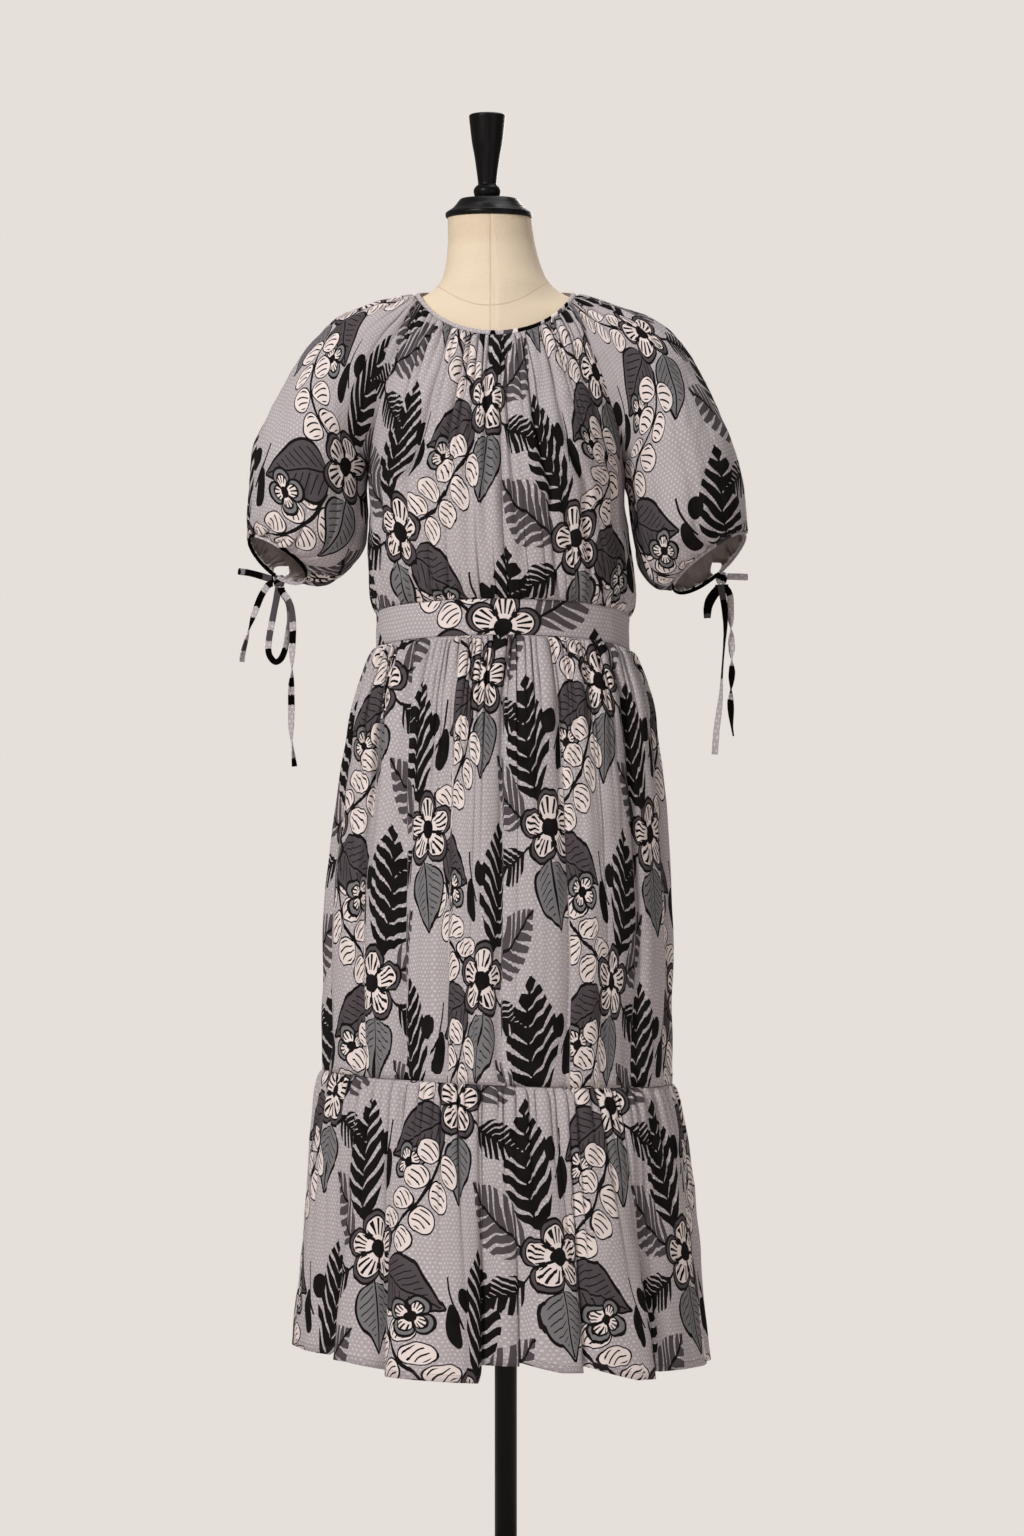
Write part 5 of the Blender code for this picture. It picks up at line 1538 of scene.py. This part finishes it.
def makeTurned(node):
    part = turnedParts[node]
    profile = part["profile"]
    bm = bmesh.new()
    points = []
    for step in range((len(profile) - 1) * lathe["stepsEach"] + 1):
        here = rowAt(profile, step / lathe["stepsEach"])
        points.append(bm.verts.new((part["x"] + here.radius, 0.0, here.z)))
    edges = [bm.edges.new(pair) for pair in zip(points, points[1:])]
    bmesh.ops.spin(bm, geom=points + edges, cent=(part["x"], 0.0, 0.0), axis=(0.0, 0.0, 1.0),
                   angle=2 * math.pi, steps=lathe["segments"], use_merge=True)
    closeShell(bm)
    piece = meshObject(part["name"], bm, standFinish[part["material"]], smoothAngle=lathe["smoothAngle"])
    standFor(piece, part["slot"], node)


pole = {"radius": 0.012, "segments": 64, "rim": 0.0006}


def makePole():
    low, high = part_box("stand_pole")
    bm = bmesh.new()
    bmesh.ops.create_cone(bm, cap_ends=True, segments=pole["segments"], radius1=pole["radius"],
                          radius2=pole["radius"], depth=high[2] - low[2])
    bmesh.ops.translate(bm, verts=bm.verts, vec=(0.0, 0.0, (low[2] + high[2]) / 2))
    rims = [edge for edge in bm.edges if abs(edge.verts[0].co.z - edge.verts[1].co.z) < 0.001]
    bmesh.ops.bevel(bm, geom=rims, offset=pole["rim"], segments=2, profile=0.5, affect="EDGES", material=-1)
    piece = meshObject("pole_tube", bm, standFinish["blackMetal"], smoothAngle=lathe["smoothAngle"])
    standFor(piece, "black_metal", "stand_pole")


linen = {  # colours, among them a painted shade for the top of the neck and the height where it begins, the slubs' size along and across, and the seams, in centimetres
    "pale": (0.845, 0.708, 0.537), "slub": (0.747, 0.602, 0.436), "cloud": (0.727, 0.590, 0.430),
    "shade": (0.612, 0.462, 0.310), "paintedShadeFrom": 147.0, "stitched": (0.560, 0.330, 0.210),
    "warp": (22.0, 22.0, 0.9), "weft": (0.9, 0.9, 20.0), "seamHalf": 0.055, "seamMiddle": -1.65,
    "neckSeamLow": 140.45, "neckSeamCurve": 0.076,
}


def linenMaterial():
    material, tree, shader = newMaterial("linenCover", 0.92, 0.20, 0.15)
    place = coordinates(tree)
    x, y, z = splitVector(tree, place)
    slub = noiseField(tree, mapped(tree, place, "Scale", linen["warp"]), 1.0, 3.0)
    pick = noiseField(tree, mapped(tree, place, "Scale", linen["weft"]), 1.0, 3.0)
    cloud = noiseField(tree, place, 0.12, 3.0)
    colour = mixColours(tree, slub * 0.55 + pick * 0.25, linen["pale"], linen["slub"])
    colour = mixColours(tree, (cloud - 0.4) * 0.35, colour, linen["cloud"])
    # painted shade: the top of the neck is darkened, from 147 cm up to the cap
    colour = mixColours(tree, ((z - linen["paintedShadeFrom"]) * 0.25).limited(0.30), colour, linen["shade"])
    off = x - linen["seamMiddle"]
    centreSeam = abs(off) < linen["seamHalf"]
    neckSeam = abs(z - off * off * linen["neckSeamCurve"] - linen["neckSeamLow"]) < linen["seamHalf"]
    seam = (centreSeam | neckSeam) * (y < 0.0)  # on the front
    colour = mixColours(tree, seam * 0.45, colour, linen["stitched"])
    tree.links.new(colour, shader.inputs["Base Color"])
    bumpFrom(tree, shader, slub + pick * 0.7 - seam * 0.6, 0.0006)
    return material


blackPaint = {"even": (0.0040, 0.0036, 0.0036), "streak": (0.0105, 0.0092, 0.0088)}


def blackFinish(name, roughness, grain):
    material, tree, shader = newMaterial(name, roughness, 0.12)
    place = coordinates(tree)
    streak = noiseField(tree, mapped(tree, place, "Scale", (1.0, 1.0, grain)), 1.6, 4.0)
    worn = noiseField(tree, place, 0.30, 3.0)
    colour = mixColours(tree, streak * 0.5, blackPaint["even"], blackPaint["streak"])
    tree.links.new(colour, shader.inputs["Base Color"])
    tree.links.new(((worn - 0.5) * 0.25 + roughness).socket, shader.inputs["Roughness"])
    bumpFrom(tree, shader, streak, 0.00025)
    return material


# The room: a pale floor round the base that runs out into an even pale surround, and soft light
room = {"pale": (0.791, 0.738, 0.701), "floor": (0.80, 0.75, 0.71), "floorRadius": 2.6,
        "fadeStart": 24.0, "fadeEnd": 46.0, "shed": 0.27}
lamps = (  # name, place, aim, size, power
    ("key", (-2.15, -2.95, 2.9), (0.0, 0.0, 0.95), 1.0, 125.0),
    ("fill", (2.6, -2.8, 1.4), (0.0, 0.0, 0.8), 2.2, 12.0),
    ("low", (-0.3, -3.8, 0.3), (0.0, 0.0, 1.1), 2.0, 11.0),
    ("top", (0.3, 0.4, 3.6), (0.0, 0.0, 1.0), 1.8, 32.0),
    ("back", (1.2, 3.4, 2.1), (0.0, 0.0, 0.9), 2.0, 60.0),
)


def makeRoom():
    world = bpy.data.worlds.new("room")
    world.use_nodes = True
    nodes = world.node_tree.nodes
    links = world.node_tree.links
    seen = nodes["Background"]
    seen.inputs["Color"].default_value = (*room["pale"], 1.0)
    shed = nodes.new("ShaderNodeBackground")  # the light that the surround sheds is dimmer
    shed.inputs["Color"].default_value = (*room["pale"], 1.0)
    shed.inputs["Strength"].default_value = room["shed"]
    choose = nodes.new("ShaderNodeMixShader")
    links.new(nodes.new("ShaderNodeLightPath").outputs["Is Camera Ray"], choose.inputs[0])
    links.new(shed.outputs[0], choose.inputs[1])
    links.new(seen.outputs[0], choose.inputs[2])
    links.new(choose.outputs[0], nodes["World Output"].inputs["Surface"])
    scene.world = world

    material, tree, shader = newMaterial("paleFloor", 0.9, 0.1)
    shader.inputs["Base Color"].default_value = (*room["floor"], 1.0)
    x, y = splitVector(tree, coordinates(tree))[:2]
    reach = (x * x + y * y).sheet("SQRT")
    fade = ((reach - room["fadeStart"]) / (room["fadeEnd"] - room["fadeStart"])).limited(1.0)
    glow = tree.nodes.new("ShaderNodeEmission")
    glow.inputs["Color"].default_value = (*room["pale"], 1.0)
    mix = tree.nodes.new("ShaderNodeMixShader")
    tree.links.new(fade.socket, mix.inputs[0])
    tree.links.new(shader.outputs[0], mix.inputs[1])
    tree.links.new(glow.outputs[0], mix.inputs[2])
    tree.links.new(mix.outputs[0], tree.nodes["Material Output"].inputs["Surface"])
    bm = bmesh.new()
    bmesh.ops.create_circle(bm, cap_ends=True, segments=96, radius=room["floorRadius"])
    meshObject("floor", bm, material)

    for name, place, aim, size, power in lamps:
        data = bpy.data.lights.new(name, "AREA")
        data.shape = "DISK"
        data.size = size
        data.energy = power
        lamp = bpy.data.objects.new(name, data)
        lamp.location = place
        lamp.rotation_euler = (Vector(aim) - Vector(place)).to_track_quat("-Z", "Y").to_euler()
        scene.collection.objects.link(lamp)
    print("room lit")


botanicalPrint = printGroup()
printShifts = {  # where each panel was cut from the printed length, in centimetres
    "skirtFront": (3.0, 5.0), "skirtBack": (9.0, 14.0), "flounceFront": (6.5, 2.0),
    "flounceBack": (1.0, 11.0), "bodiceFront": (2.0, 8.5), "bodiceBack": (7.0, 1.0),
    "sleeveLeft": (4.0, 6.0), "sleeveRight": (11.0, 9.0), "bandFront": (0.0, 3.0),
    "bandBack": (5.0, 12.0),
}
cotton = {name: printedCotton("cotton_" + name, shift, hem="flounce" in name)
          for name, shift in printShifts.items()}
cottonBack = printedCotton("cotton_inside", (3.0, 4.0), inside=True)
neckPatches = ((0.2525, "dots"), (0.258, "black"), (0.267, "dots"), (0.278, "darkGrey"), (0.283, "cream"),
               (0.312, "black"), (0.316, "dots"), (0.326, "black"), (0.338, "cream"), (0.347, "darkGrey"),
               (0.352, "dots"), (0.360, "black"), (0.6, "dots"))
neckStrip = stripCloth("neckStrip", neckPatches, 0.52, True)
cuffPatches = {
    "left": ((0.060, "dots"), (0.125, "black"), (0.16, "dots"), (0.3, "black")),
    "right": ((0.075, "black"), (0.150, "dots"), (0.17, "darkGrey"), (0.3, "dots")),
}
cuffStrips = {side: stripCloth("cuffStrip_" + side, patches, 0.26, True)
              for side, patches in cuffPatches.items()}
tieStrips = {(side, kind): stripCloth("tieStrip_" + side + "_" + kind, patches, 0.24)
             for side, kinds in tiePatches.items() for kind, patches in kinds.items()}
knotStrips = {
    "left": stripCloth("knotStrip_left", ((0.008, "darkGrey"), (0.013, "black"), (0.03, "midGrey")), 0.03),
    "right": stripCloth("knotStrip_right", ((0.007, "dots"), (0.014, "black"), (0.03, "dots")), 0.03),
}
linenCover = linenMaterial()
standFinish = {"blackWood": blackFinish("blackWood", 0.34, 0.25),
               "blackMetal": blackFinish("blackMetal", 0.40, 0.6)}
print("cloth and finishes mixed")

for side in sides:
    makeKnot(side)
    for kind in tieRoutes[side]:
        makeTie(side, kind)
makeRoom()
makeTorso()
for node in turnedParts:
    makeTurned(node)
makePole()
for half in halves:
    makeTier("skirt", half)
    makeTier("flounce", half)
    makeBodice(half)
    makeBand(half)
makeNeckBinding()
for side in sides:
    makeSleeve(side)
    makeCuffBinding(side)
